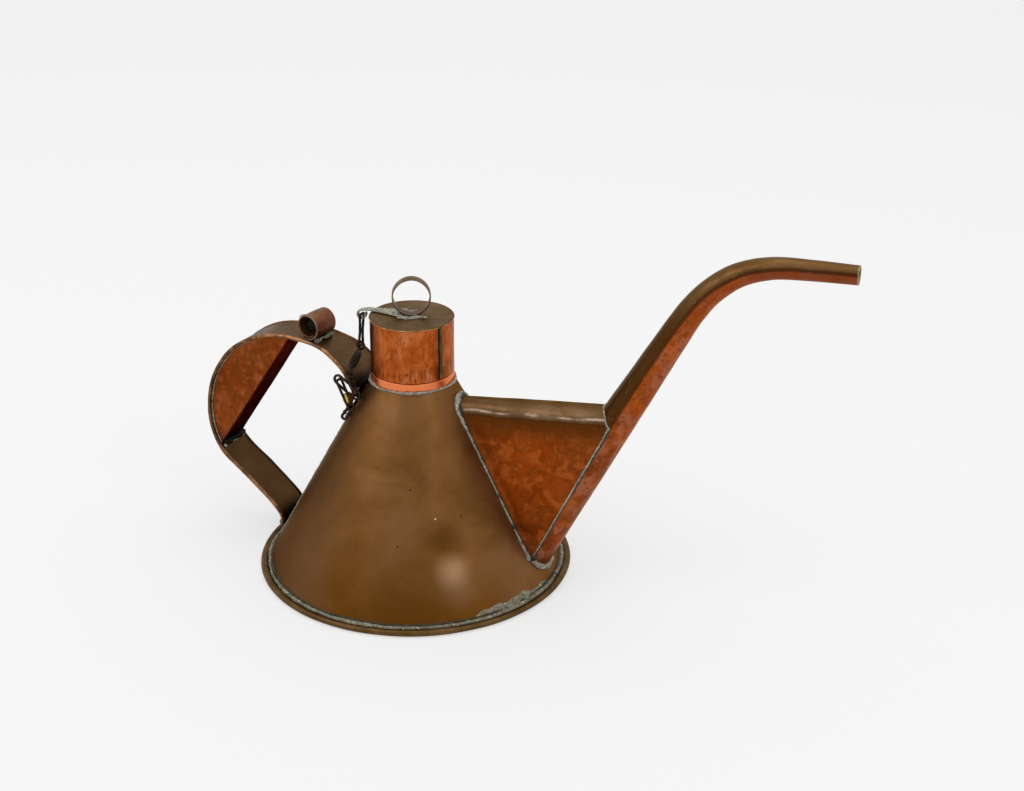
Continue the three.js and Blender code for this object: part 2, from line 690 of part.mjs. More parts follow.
add(handle, 'chain_staple', chainStaple(), 'bronze');
const longLink = add(handle, 'chain_link_long', edgeLink(pivotDistance(LID_EYE, LONG_END)), 'bronze');
hang(longLink, LID_EYE, LONG_END, LID_PLANE_Y);
add(handle, 'chain_link_flat', flatLink(), 'bronze');
const loop = add(handle, 'chain_link_loop', edgeLink(pivotDistance(FLAT_END, LOOP_END)), 'bronze');
hang(loop, FLAT_END, LOOP_END, STRAP_PLANE_Y);
const hook = add(handle, 'chain_link_hook', slotLink(pivotDistance(ELBOW, LOOP_END)), 'bronze');
hang(hook, ELBOW, LOOP_END, STRAP_PLANE_Y);
const wire = add(handle, 'chain_link_wire', edgeLink(pivotDistance(ELBOW, STAPLE)), 'bronze');
hang(wire, ELBOW, STAPLE, STRAP_PLANE_Y);
hang(add(handle, 'chain_ferrule', ferrule(), 'brass'), ELBOW, STAPLE, STRAP_PLANE_Y);

export default can;
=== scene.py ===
"""The looks of the copper pouring can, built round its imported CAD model. Blender 4.5.

Shapes are worked out in millimetres in the row frame: +X to the spout, +Z up, the base's centre at 0.
"""

import bisect
import functools
import math

import bmesh
import bpy
from mathutils import Matrix, Vector, noise


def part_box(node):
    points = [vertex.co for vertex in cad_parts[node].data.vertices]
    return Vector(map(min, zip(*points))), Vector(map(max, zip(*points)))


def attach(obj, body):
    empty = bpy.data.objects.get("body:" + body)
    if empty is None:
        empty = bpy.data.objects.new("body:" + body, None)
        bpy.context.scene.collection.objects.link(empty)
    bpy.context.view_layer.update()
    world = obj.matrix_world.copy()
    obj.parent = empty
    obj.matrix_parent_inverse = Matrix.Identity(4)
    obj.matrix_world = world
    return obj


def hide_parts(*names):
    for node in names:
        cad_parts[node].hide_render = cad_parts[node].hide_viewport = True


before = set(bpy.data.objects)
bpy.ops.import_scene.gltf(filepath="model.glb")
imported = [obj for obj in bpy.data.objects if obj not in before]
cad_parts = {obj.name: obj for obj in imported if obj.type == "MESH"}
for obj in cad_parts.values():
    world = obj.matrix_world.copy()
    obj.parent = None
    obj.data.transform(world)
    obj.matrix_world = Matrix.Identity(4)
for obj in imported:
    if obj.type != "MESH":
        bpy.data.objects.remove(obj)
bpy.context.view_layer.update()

MM = 0.001
TAU = 2 * math.pi


def box_mm(node):
    low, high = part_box(node)
    return low / MM, high / MM


# ---------------------------------------------------------------- driving dimensions, millimetres and degrees

SHEET = 1.0
SHARP = 40
SHARP_BEVELLED = 85
SIDES = (("front", -1), ("back", 1))

BASE_R = box_mm("base_rim")[1].x
EDGE_Z = box_mm("base_rim")[1].z
WELL_R = 95.2
WELL_Z = 1.2

CONE_FOOT_Z, CONE_TOP_Z = (corner.z for corner in box_mm("cone_body"))
CONE_TOP_R = 25.9
CONE_SLOPE = 0.552
CONE_SLANT = math.hypot(1, CONE_SLOPE)
CONE_SIDES = 300
CONE_ROWS = 110
CONE_PITS = [  # degrees round the cone, height, size, colour
    (-70.4, 75, 0.9, (44, 22, 8)), (-41.6, 58, 0.8, (34, 16, 6)), (-94.8, 85, 0.8, (52, 28, 12)),
    (-76.4, 45, 1.0, (64, 34, 12)), (-56.4, 59, 0.8, (214, 196, 170)),
]
DENT_ANGLE = -52
DENT_Z = 41
DENT_DEPTH = 1.5
DENT_REACH = 10
BULGE_DROP = 14
BULGE_HEIGHT = 0.8
BULGE_REACH = 9
# Painted shade above the dent and painted highlights below it.
DENT_PAINTED_LIGHT = [  # degrees from the dent, height above it, reach, strength, colour
    (-2, 8, 20, 0.7, (82, 48, 4)), (1, -11, 15, 0.65, (160, 126, 96)), (2, -20, 17, 0.35, (136, 102, 74)),
]
CRUST_ANGLES = (-48, -5)
CRUST_FOOT_Z = 3.4

NECK_R = box_mm("neck_tube")[1].x
NECK_LOW_Z, NECK_TOP_Z = (corner.z for corner in box_mm("neck_tube"))
SHOULDER_LOW_Z, SHOULDER_TOP_Z = (corner.z for corner in box_mm("neck_shoulder_ring"))
CAP_R = box_mm("cap_side")[1].x
CAP_LOW_Z, CAP_HIGH_Z = (corner.z for corner in box_mm("cap_side"))
LID_LOW_Z, LID_TOP_Z = (corner.z for corner in box_mm("cap_top"))
CAP_SEAM_ANGLE = -25
CAP_SEAM_LINE_ANGLE = CAP_SEAM_ANGLE - 3.9
RING_LOW_Z, RING_HIGH_Z = (corner.z for corner in box_mm("cap_ring"))
RING_R = (RING_HIGH_Z - RING_LOW_Z) / 2
RING_BAND = 6.6
RING_SHEET = 0.8
RING_YAW = 22.6
RING_SMEARS = [(-9, -5.4, 9.5, -5.2, 1), (-7, 4.3, 7, 4.6, 2)]  # x, y at both ends, seed
TONGUE_ANGLE = 4.5
TONGUE_CURL_R = 2.6

SPOUT_LINE = [
    (72.3, 10.75), (104.7, 68.8), (136.9, 126.9), (160.2, 169.2), (173, 191.6),
    (184.5, 206), (198.8, 216.8), (216.3, 222.8), (238.8, 224.3), (265, 224.7),
]
SPOUT_ROOT_R = 15.27
SPOUT_TAPER = 0.0338
SPOUT_BEND_END = 263
SPOUT_END_TAPER = 0.018
SPOUT_TILT = math.atan2(58.05, 32.3)
BORE_REACH = 60

WEB_CREST_Z = 116.4
WEB_CREST_RISE = 0.082
WEB_START_X = 20
WEB_HALF = 13.2
WEB_HALF_PER_X = 0.0434
WEB_HALF_PER_Z = -0.0559
WEB_CORNER_R = 9.5
WEB_CORNER_POWER = 0.86
WEB_PINCH = 0.17
WEB_EDGE_DROP = 5.49
WEB_EDGE_LEAN = 0.0542
WEB_SECTION_HALF = 10

HANDLE_YAW = -6
STRAP_LINE = [
    (-26.6, 107.5), (-33.4, 118.6), (-40.8, 130.4), (-56, 139.5), (-79, 143.3),
    (-101, 140.8), (-121, 130.9), (-136, 114.8), (-145, 93.5), (-145.6, 70),
    (-138.5, 53), (-118, 36), (-98.5, 19), (-94.3, 13), (-93.6, 7.6),
]
STRAP_SHEET = 1.2
STRAP_HALF = 14.25
STRAP_ROOT_HALF = 18
STRAP_FLARE_X = (-62, -38)
EDGE_WIRE_R = 1.25
FOOT_HALF = 15.2
FOOT_Z = (97, 113)
CHORD_TOP = Vector((-82, 0, 141))
CHORD_LOW = Vector((-139, 0, 56))
GRIP_FACE_Y = 11.4
ROLL_R = 8.6
ROLL_LENGTH = 18
ROLL_TURNS = 1.12
ROLL_SHRINK = 1.6
ROLL_CENTRE = Vector((-67.4, -1.5, 150.7))
ROLL_YAW = -9
ROLL_BEADS = [(5.6, -8.6, 8.6, 1.5, 1), (-5.2, -8.2, 7.5, 1.2, 2)]  # x, z, half length, radius, seed

LAP_ANGLE = math.radians(187)
LAP_Z = (5, FOOT_Z[0] + 1)
LAP_HALF = 1.7
LAP_RISE = 0.7

LID_EYE = (-31.5, 164.5)
LONG_END = (-33, 143.5)
FLAT_END = (-30.5, 131)
LOOP_END = (-27, 118)
ELBOW = (-39, 126)
STAPLE = (-31, 109)
LID_PLANE_Y = -6
STRAP_PLANE_Y = -24
WIRE_R = 0.85
EDGE_LINK_HALF = 2.6
EYE_MID_R = 2.4
SLOT_REACH = 2 + WIRE_R
LEAF_FACING = Vector((0.25, 0.88, -0.4))
LEAF_PALE_SIDE = -1
FERRULE_SPAN = (-16.6, -9.6)
STAPLE_EYE = ((-31, 109), (-36.4, 101.2))
STAPLE_SPECKS = [  # x, y, z, half length
    (-33, -17, 118.5, 0.9), (-30, -16.5, 114.5, 1.2), (-31.5, -14, 117, 0.7), (-27.5, -15, 110.5, 1.5),
]


# ---------------------------------------------------------------- points and lines

def lump(point, size, seed=0.0):
    """Smooth repeatable noise, about -1 to 1, with features of the given size."""
    return noise.noise(point / size + Vector((seed, 7.3 * seed, 3.1 * seed)))


def smooth_step(value, low, high):
    t = min(max((value - low) / (high - low), 0.0), 1.0)
    return t * t * (3 - 2 * t)


def mix(a, b, t):
    return a + (b - a) * t


def steps(low, high, count):
    return [mix(low, high, i / count) for i in range(count + 1)]


def turns(low, high, count):
    """Angles from low to high degrees, in radians."""
    return [math.radians(a) for a in steps(low, high, count)]


def wavy(middle, swing, rate, phase=0.0):
    """A radius that swells and thins along a bead."""
    return lambda t: middle + swing * math.sin(rate * t + phase)


def first(test, low, high):
    """The value between low and high from which a test holds."""
    for _ in range(30):
        middle = (low + high) / 2
        if test(middle):
            high = middle
        else:
            low = middle
    return high


def polar(r, angle, z=0.0):
    return Vector((r * math.cos(angle), r * math.sin(angle), z))


def turned(x, y, z, degrees):
    a = math.radians(degrees)
    return Vector((x * math.cos(a) - y * math.sin(a), x * math.sin(a) + y * math.cos(a), z))


def in_handle(point):
    """From the handle's own frame to the row frame."""
    return turned(*point, HANDLE_YAW)


def curve_points(points, per_span, loop):
    """Points on the centripetal Catmull-Rom curve through the given ones."""
    if loop:
        ring = [points[-1]] + points + points[:2]
    else:
        ring = [2 * points[0] - points[1]] + points + [2 * points[-1] - points[-2]]
    made = []
    for i in range(len(ring) - 3):
        a, b, c, d = ring[i:i + 4]
        ab, bc, cd = (math.sqrt((q - p).length) for p, q in ((a, b), (b, c), (c, d)))
        leave = ((b - a) / ab - (c - a) / (ab + bc) + (c - b) / bc) * bc
        reach = ((c - b) / bc - (d - b) / (bc + cd) + (d - c) / cd) * bc
        for k in range(per_span):
            t = k / per_span
            t2, t3 = t * t, t * t * t
            made.append(b * (2 * t3 - 3 * t2 + 1) + leave * (t3 - 2 * t2 + t)
                        + c * (3 * t2 - 2 * t3) + reach * (t3 - t2))
    made.append(points[0].copy() if loop else points[-1])
    return made


class Line:
    """A smooth line through points, measured by its length."""

    def __init__(self, points, per_span=24, loop=False):
        self.points = curve_points([Vector(p) for p in points], per_span, loop)
        self.loop = loop
        self.reach = [0.0]
        for a, b in zip(self.points, self.points[1:]):
            self.reach.append(self.reach[-1] + (b - a).length)
        self.length = self.reach[-1]

    def at(self, s):
        s = s % self.length if self.loop else min(max(s, 0.0), self.length)
        i = min(max(bisect.bisect_left(self.reach, s), 1), len(self.reach) - 1)
        low, high = self.reach[i - 1], self.reach[i]
        return self.points[i - 1].lerp(self.points[i], (s - low) / max(high - low, 1e-9))

    def along(self, s, reach=0.4):
        return (self.at(s + reach) - self.at(s - reach)).normalized()

    def nearest(self, point):
        """The length along the line of the place nearest to a point."""
        return min(zip(self.points, self.reach), key=lambda pair: (pair[0] - point).length)[1]


# ---------------------------------------------------------------- surfaces as (points, faces)

def skin(rows, join=False, ends=False):
    """A surface through closed rows of points. join closes last row to first, ends caps both."""
    count = len(rows[0])
    points = [p for row in rows for p in row]
    faces = []
    pairs = [(i, i + 1) for i in range(len(rows) - 1)]
    if join:
        pairs.append((len(rows) - 1, 0))
    for low, high in pairs:
        for j in range(count):
            k = (j + 1) % count
            faces.append((low * count + j, low * count + k, high * count + k, high * count + j))
    if ends:
        faces.append(tuple(reversed(range(count))))
        faces.append(tuple(range(len(points) - count, len(points))))
    return points, faces


def sheet(downs, acrosses, both_faces):
    """A closed sheet. both_faces gives its front and back points at one place down and one across."""
    pairs = [both_faces(u, v) for u in downs for v in acrosses]
    points = [front for front, _ in pairs] + [back for _, back in pairs]
    down, across, shift = len(downs), len(acrosses), len(pairs)
    faces = []
    for i in range(down - 1):
        for j in range(across - 1):
            a = i * across + j
            quad = (a, a + 1, a + across + 1, a + across)
            faces.append(quad)
            faces.append(tuple(shift + k for k in reversed(quad)))
    rim = list(range(across))
    rim += [i * across + across - 1 for i in range(1, down)]
    rim += [(down - 1) * across + j for j in range(across - 2, -1, -1)]
    rim += [i * across for i in range(down - 2, 0, -1)]
    for a, b in zip(rim, rim[1:] + rim[:1]):
        faces.append((b, a, a + shift, b + shift))
    return points, faces


def lathe(profile, sides, shift, join=True):
    """A profile of (radius, height) turned about Z, each point moved by shift."""
    around = steps(0, TAU, sides)[:-1]
    return skin([[shift(polar(r, a, z)) for a in around] for r, z in profile], join=join, ends=not join)


def arc(r, z, radius, start, end, count):
    """Profile points round a corner, with angles in degrees from the outward direction."""
    return [(r + radius * math.cos(a), z + radius * math.sin(a)) for a in turns(start, end, count)]


def round_end(s, length, radius):
    d = min(s, length - s) / max(radius, 1e-6)
    return 1.0 if d >= 1 else max(math.sqrt(1 - (1 - d) ** 2), 0.06)


def tube(line, radius, sides, step, rough=0.0, grain=3.0, seed=0.0, carry=None):
    """A round wire or bead along a Line. radius is a number or a function of the fraction along it."""
    size = radius if callable(radius) else (lambda t: radius)
    stations = steps(0, line.length, max(int(line.length / step), 10))
    if line.loop:
        stations.pop()
    else:
        ends = [size(0.0) * k for k in (0.04, 0.18, 0.45, 0.8)]
        stations = sorted(stations + ends + [line.length - e for e in ends])
    rows = []
    normal = line.along(0).orthogonal()
    for s in stations:
        along = line.along(s)
        normal = (normal - along * normal.dot(along)).normalized()
        side = along.cross(normal)
        r = size(s / line.length)
        if not line.loop:
            r *= round_end(s, line.length, r)
        row = []
        for a in steps(0, TAU, sides)[:-1]:
            out = normal * math.cos(a) + side * math.sin(a)
            p = line.at(s) + out * r
            p += out * rough * min(r, 1.0) * (lump(p, grain, seed) + 0.5 * lump(p, grain / 2.7, seed + 4))
            row.append(carry(p) if carry else p)
        rows.append(row)
    return skin(rows, join=line.loop, ends=not line.loop)


def bare_object(name, parts):
    points, faces = [], []
    for some_points, some_faces in parts:
        shift = len(points)
        points += some_points
        faces += [tuple(k + shift for k in face) for face in some_faces]
    mesh = bpy.data.meshes.new(name)
    mesh.from_pydata([p * MM for p in points], [], faces)
    bm = bmesh.new()
    bm.from_mesh(mesh)
    bmesh.ops.recalc_face_normals(bm, faces=bm.faces)
    bm.to_mesh(mesh)
    bm.free()
    obj = bpy.data.objects.new(name, mesh)
    bpy.context.scene.collection.objects.link(obj)
    return obj


def soften(obj, sharp=SHARP):
    obj.data.shade_smooth()
    obj.data.set_sharp_from_angle(angle=math.radians(sharp))


LOOKS = {}


def piece(name, parts, look, nodes=(), body="can", edge=0.0, places=None):
    """One visible piece, in place of the CAD nodes that it stands for. edge rounds its corners."""
    obj = bare_object(name, parts)
    if places:
        layer = obj.data.attributes.new("place", "FLOAT_VECTOR", "POINT")
        layer.data.foreach_set("vector", [c * MM for p in places for c in p])
    if edge:
        rounding = obj.modifiers.new("edge", "BEVEL")
        rounding.width = edge * MM
        rounding.segments = 2
        rounding.limit_method = "ANGLE"
        rounding.angle_limit = math.radians(50)
    soften(obj, SHARP_BEVELLED if edge else SHARP)
    slot, material = LOOKS[look]
    obj.data.materials.append(material)
    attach(obj, body)
    if nodes:
        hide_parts(*nodes)
    return obj


# ---------------------------------------------------------------- cone, base and neck

def cone_radius(z):
    return CONE_TOP_R + CONE_SLOPE * (CONE_TOP_Z - z)


def on_cone(angle, z, offset=0.0):
    return polar(cone_radius(z) + offset * CONE_SLANT, angle, z)


def cone_height_off(p):
    """How far a point is outside the cone, measured square to its surface."""
    return (math.hypot(p.x, p.y) - cone_radius(p.z)) / CONE_SLANT


def by_dent(degrees, rise):
    return on_cone(math.radians(DENT_ANGLE + degrees), DENT_Z + rise)


def dented(p):
    """Hand-beaten sheet: shallow hollows, faint flutes under the neck and one knock near the foot."""
    angle = math.atan2(p.y, p.x)
    depth = 0.30 * lump(p, 34, 1) + 0.10 * lump(p, 13, 2)
    depth += 0.12 * math.cos(11 * angle) * smooth_step(p.z, 70, 112)
    depth += DENT_DEPTH * math.exp(-((p - by_dent(0, 0)).length / DENT_REACH) ** 2)
    depth -= BULGE_HEIGHT * math.exp(-((p - by_dent(1, -BULGE_DROP)).length / BULGE_REACH) ** 2)
    return p - Vector((math.cos(angle), math.sin(angle), CONE_SLOPE)).normalized() * depth


def make_cone():
    heights = steps(CONE_FOOT_Z, CONE_TOP_Z, CONE_ROWS)
    outer = [(cone_radius(z), z) for z in heights]
    inner = [(cone_radius(z) - SHEET * CONE_SLANT, z) for z in reversed(heights)]
    cone = piece("cone", [lathe(outer + inner, CONE_SIDES, dented)], "cone", ["cone_body"])
    rings = [spout_ring(s, -SHEET) for s in steps(0, BORE_REACH, 12)]
    bore = bare_object("spout_bore", [skin(rings, ends=True)])
    cut = cone.modifiers.new("hole", "BOOLEAN")
    cut.operation = "DIFFERENCE"
    cut.object = bore
    bpy.context.view_layer.update()
    holed = bpy.data.meshes.new_from_object(cone.evaluated_get(bpy.context.evaluated_depsgraph_get()))
    cone.modifiers.clear()
    cone.data = holed
    bpy.data.objects.remove(bore)
    soften(cone)


def uneven_edge(p):
    """The flange isn't quite flat or round."""
    reach = math.hypot(p.x, p.y)
    around = polar(4, math.atan2(p.y, p.x))
    rise = 0.3 * noise.noise(around) * smooth_step(reach, 85, 99) * smooth_step(p.z, 0.2, 3)
    inward = 0.5 * max(noise.noise(around * 0.8 + Vector((5, 0, 0))), 0) * smooth_step(reach, 90, 100)
    return p * (1 - inward / 100) + Vector((0, 0, rise))


def make_base():
    under = [(1.0, 0.0), (40.0, 0.0), (80.0, 0.0), (94.0, 0.0)]
    rim = arc(BASE_R - 2.0, 2.0, 2.0, -90, 90, 12)
    lip = [(97.2, EDGE_Z - 0.15), (96.4, EDGE_Z - 0.45), (WELL_R + 0.4, 3.0), (WELL_R, 1.8)]
    floor = [(WELL_R - 0.6, WELL_Z + 0.1), (90.0, WELL_Z), (50.0, WELL_Z), (1.0, WELL_Z)]
    piece("base", [lathe(under + rim + lip + floor, 256, uneven_edge, join=False)], "olive",
          ["base_plate", "base_rim"])


def ring_line(r, z, wobble=0.0, seed=0.0):
    points = []
    for a in steps(0, TAU, 72)[:-1]:
        points.append(polar(r + wobble * lump(polar(1, a), 0.21, seed), a, z))
    return Line(points, 6, loop=True)


def crust():
    """Old solder smeared up the cone's foot beside the spout's root."""
    start, end = CRUST_ANGLES

    def both_faces(degrees, v):
        a = math.radians(degrees)
        swell = math.sin(math.pi * (degrees - start) / (end - start)) ** 0.6
        top_z = 4.2 + 4.6 * swell * (0.8 + 0.6 * lump(on_cone(a, 8), 6, 3))
        base = on_cone(a, mix(CRUST_FOOT_Z, top_z, max(v - 0.25, 0) / 0.75))
        base += polar(mix(2.6, 0.0, min(v / 0.25, 1)), a)
        thick = 0.9 * math.sin(math.pi * min(max(v, 0.02), 0.98)) ** 0.7 * swell
        thick *= 0.75 + 0.7 * lump(base, 3.4, 5) + 0.4 * lump(base, 1.3, 6)
        out = Vector((math.cos(a), math.sin(a), CONE_SLOPE)).normalized()
        return base + out * (max(thick, 0.0) - 0.05), base - out * 0.5
    return sheet(steps(start, end, 90), steps(0, 1, 14), both_faces)


def make_foot_solder():
    def radius(t):
        return 1.25 + 0.35 * math.sin(TAU * 7 * t) * math.sin(TAU * 3 * t)
    bead = tube(ring_line(cone_radius(CRUST_FOOT_Z) + 1.0, 3.1, 0.5, 2), radius, 12, 1.2, 0.4, 4.0, 1)
    piece("foot_solder", [bead, crust()], "dull", ["base_solder"])
    # Dark dirt with painted shade: tubes just above the foot bead and just under it.
    dirt_shade = ring_line(cone_radius(4.6) + 0.1, 4.4, 0.25, 6)
    piece("foot_dirt_shade", [tube(dirt_shade, 0.7, 10, 1.4, 0.4, 5.0, 5)], "dirt_and_shade")
    under = ring_line(cone_radius(2.0) + 1.8, 1.9, 0.2, 7)
    piece("foot_shadow_line", [tube(under, 0.9, 10, 1.4, 0.4, 5.0, 6)], "dirt_and_shade")


def lap_seam():
    """A soldered lap down the cone, under the handle."""
    def both_faces(z, v):
        angle = LAP_ANGLE + v * (LAP_HALF + 0.5 * lump(Vector((0, v, z)), 7, 8)) / cone_radius(z)
        lift = LAP_RISE * (1 - v * v) ** 0.5 * (1 + 0.4 * lump(on_cone(angle, z), 4, 9))
        return on_cone(angle, z, lift - 0.05), on_cone(angle, z, -0.6)
    return sheet(steps(*LAP_Z, 90), steps(-1, 1, 8), both_faces)


def neck_beaten(p):
    return p + Vector((p.x, p.y, 0)).normalized() * 0.12 * lump(p, 9, 3)


def make_neck():
    top = arc(NECK_R - 0.5, NECK_TOP_Z - 0.5, 0.5, 0, 180, 8)
    neck = [(NECK_R, NECK_LOW_Z)] + [(NECK_R, z) for z in steps(NECK_LOW_Z + 2, NECK_TOP_Z - 1, 14)] + top
    neck += [(NECK_R - SHEET, z) for z in steps(NECK_TOP_Z - 1, NECK_LOW_Z, 14)]
    piece("neck", [lathe(neck, 160, neck_beaten)], "bright", ["neck_tube"])
    low, high = SHOULDER_LOW_Z, SHOULDER_TOP_Z
    ring = [(24.5, low), (26.0, low), (25.8, low + 1.5), (25.7, high - 1.2)]
    ring += arc(25.1, high - 0.7, 0.6, 0, 90, 5) + [(24.5, high - 0.1)]
    piece("shoulder", [lathe(ring, 160, neck_beaten)], "bright", ["neck_shoulder_ring"])
    bead = tube(ring_line(26.5, 126.2, 0.4, 6), wavy(0.8, 0.2, TAU * 5, 1), 12, 0.8, 0.5, 2.6, 3)
    piece("neck_bead", [bead], "pale", ["neck_solder"])


# ---------------------------------------------------------------- spout

spout_line = Line([(x, 0, z) for x, z in SPOUT_LINE], per_span=40)


def spout_radius(s):
    if s > SPOUT_BEND_END:
        return SPOUT_ROOT_R - SPOUT_TAPER * SPOUT_BEND_END - SPOUT_END_TAPER * (s - SPOUT_BEND_END)
    return SPOUT_ROOT_R - SPOUT_TAPER * s


def beside_spout(s, angle, offset=0.0):
    """A point on or off the spout's surface: angle 0 is its underside, 90 degrees the side towards -Y."""
    centre, along = spout_line.at(s), spout_line.along(s)
    r = spout_radius(s) + offset
    down = r * math.cos(angle)
    return Vector((centre.x + down * along.z, -r * math.sin(angle), centre.z - down * along.x))


def spout_ring(s, offset, sides=48):
    return [beside_spout(s, a, offset) for a in steps(0, TAU, sides)[:-1]]


def leaves_cone(angle, offset, depth=0.0):
    """The length along the spout at which one line of its surface comes out of the cone."""
    return first(lambda s: cone_height_off(beside_spout(s, angle, offset)) > offset - depth, 0.0, BORE_REACH)


def spout_wall(offset, angles, fractions):
    """Rows of (point, unbent place) on one face of the spout. A place is (along, down, side)."""
    starts = [leaves_cone(a, 0.0, 0.9) for a in angles]

    def both(a, start, t):
        s = mix(start, spout_line.length, t)
        r = spout_radius(s) + offset
        p = beside_spout(s, a, offset)
        out = (p - spout_line.at(s)).normalized()
        return p + out * 0.14 * lump(p, 11, 4), (s, r * math.cos(a), r * math.sin(a))
    return [[both(a, start, t) for a, start in zip(angles, starts)] for t in fractions]


def make_spout():
    angles = steps(0, TAU, 72)[:-1]
    rows = spout_wall(0.0, angles, steps(0, 1, 230))
    for inset in (SHEET / 4, SHEET * 3 / 4):
        rows += spout_wall(-inset, angles, [1.0])
    rows += spout_wall(-SHEET, angles, steps(0.999, 0, 60))
    wall = skin([[p for p, _ in row] for row in rows], join=True)
    piece("spout", [wall], "spout", ["spout_tube"], places=[place for row in rows for _, place in row])


def web_edge_line(side, low, high, beyond, offset):
    """Along the web's edge on the spout, a little beyond it and off the spout's surface."""
    points = []
    for s in steps(low, high, 14):
        drop = WEB_EDGE_DROP - WEB_EDGE_LEAN * s + beyond
        points.append(beside_spout(s, side * math.acos(drop / (spout_radius(s) + offset)), offset))
    return Line(points, 8)


def make_spout_solder():
    root = [beside_spout(leaves_cone(a, 0.9), a, 0.5) for a in turns(-70, 70, 20)]
    fat = tube(Line(root, 8), lambda t: 1.55 + 0.6 * abs(math.sin(TAU * 2.2 * t)), 14, 0.7, 0.5, 3.0, 7)
    piece("spout_root_bead", [fat], "pale", ["spout_root_solder"])
    # Dark dirt with painted shade: a tube in the hollow round the spout's root.
    cavity = [beside_spout(leaves_cone(a, 0.4) + 0.6, a, 0.3) for a in turns(-70, 70, 20)]
    piece("spout_root_dirt_shade", [tube(Line(cavity, 8), 1.35, 12, 0.9, 0.5, 3.0, 8)], "dirt_and_shade")
    for name, side in SIDES:
        pale = tube(web_edge_line(-side, 16, 121, 0.1, 0.75), 0.62, 10, 0.8, 0.4, 2.6, 8 - side)
        piece("web_spout_bead_" + name, [pale], "pale", ["web_spout_solder_" + name])
        # Dark dirt with painted shade beside the web's bead on the spout, fatter where the web starts.
        dirt_shade = tube(web_edge_line(-side, 16, 121, 0.5, 0.2), 1.0, 10, 1.0, 0.4, 4.0, 11 - side)
        junction = tube(web_edge_line(-side, 12.5, 19, 1.6, 0.5), 1.7, 12, 0.7, 0.5, 2.5, 14)
        piece("web_spout_dirt_shade_" + name, [dirt_shade, junction], "dirt_and_shade")


# ---------------------------------------------------------------- web

def web_half(x, z):
    return WEB_HALF + WEB_HALF_PER_X * x + WEB_HALF_PER_Z * z


def web_point(x, u, v):
    """u is the nominal place across the section, v the drop below the crest."""
    z = WEB_CREST_Z + WEB_CREST_RISE * (x - WEB_START_X) + v
    pinch = 1 - WEB_PINCH * smooth_step(x, 104, 128) * smooth_step(v, -20, -5)
    return Vector((x, u / WEB_SECTION_HALF * web_half(x, z) * pinch, z))


def in_spout(p, depth=0.0):
    """Inside the spout, or beyond the web's own straight edge on it."""
    off = p - Vector((SPOUT_LINE[0][0], 0, SPOUT_LINE[0][1]))
    s = off.x * math.cos(SPOUT_TILT) + off.z * math.sin(SPOUT_TILT)
    beyond = off.x * math.sin(SPOUT_TILT) - off.z * math.cos(SPOUT_TILT)
    if beyond > WEB_EDGE_DROP - WEB_EDGE_LEAN * s:
        return True
    return math.hypot(beyond, p.y) < spout_radius(max(s, 0)) - depth


@functools.lru_cache(None)
def web_ends(u, v):
    """Where one line of the web leaves the cone and where it meets the spout."""
    start = first(lambda x: cone_height_off(web_point(x, u, v)) > -0.4, 0, 150)
    return start, first(lambda x: in_spout(web_point(x, u, v), 0.5), start, 175)


def web_length(drop):
    start, end = web_ends(-WEB_SECTION_HALF, -drop)
    return end - start


def web_section(count):
    """(u, v) down the front side, over the crest and down the back side."""
    flat = WEB_SECTION_HALF - WEB_CORNER_R
    deepest = first(lambda drop: web_length(drop) < 0.8, 20, 112)
    half = [(-WEB_SECTION_HALF, -d) for d in steps(deepest, WEB_CORNER_R, count)]
    for a in turns(180, 90, 16)[1:]:
        out, up = abs(math.cos(a)) ** WEB_CORNER_POWER, math.sin(a) ** WEB_CORNER_POWER
        half.append((-flat - WEB_CORNER_R * out, -WEB_CORNER_R + WEB_CORNER_R * up))
    half.append((-flat / 2, 0.0))
    return half + [(0.0, 0.0)] + [(-u, v) for u, v in reversed(half)]


def web_faces(uv, t):
    """The web's outer and inner points at one place round its section and along it."""
    (u, v), (start, end) = uv, web_ends(*uv)
    x = mix(start, end, t)
    p = web_point(x, u, v)
    crest = smooth_step(v, -WEB_CORNER_R, 0)
    out = Vector((0, (1 - crest) * (math.copysign(1.0, u) if abs(u) > 0.1 else 0.0), crest)).normalized()
    inside = smooth_step(x, start, start + 6) * smooth_step(end, x + 4, x + 17)
    crease = 0.5 * lump(Vector((x, 0, 0)), 15, 12) * math.exp(-((v + 4) / 4) ** 2)
    hollow = 0.7 * lump(p, 24, 10) + 0.25 * lump(p, 9, 11) - 0.6 * (1 - crest)
    p += out * inside * (hollow * (0.35 if crest > 0.5 else 1.0) + crease)
    return p, p - out * SHEET


def web_bead_radius(t):
    """Thin along the sides, a broad blob over the crest, fatter again at both feet."""
    crest = 1.5 * math.exp(-(abs(t - 0.5) / 0.085) ** 2.4)
    feet = 0.9 * math.exp(-(min(t, 1 - t) / 0.035) ** 2)
    return 0.72 + crest + feet


def web_out(u, v):
    if v < -WEB_CORNER_R:
        return Vector((0, u, 0)).normalized()
    return Vector((0, u / WEB_SECTION_HALF, 1 + v / WEB_CORNER_R)).normalized()


def on_web_edge(u, v, rise):
    """A point just outside the corner between the web and the cone."""
    return web_point(web_ends(u, v)[0] + 0.9, u, v) + web_out(u, v) * rise


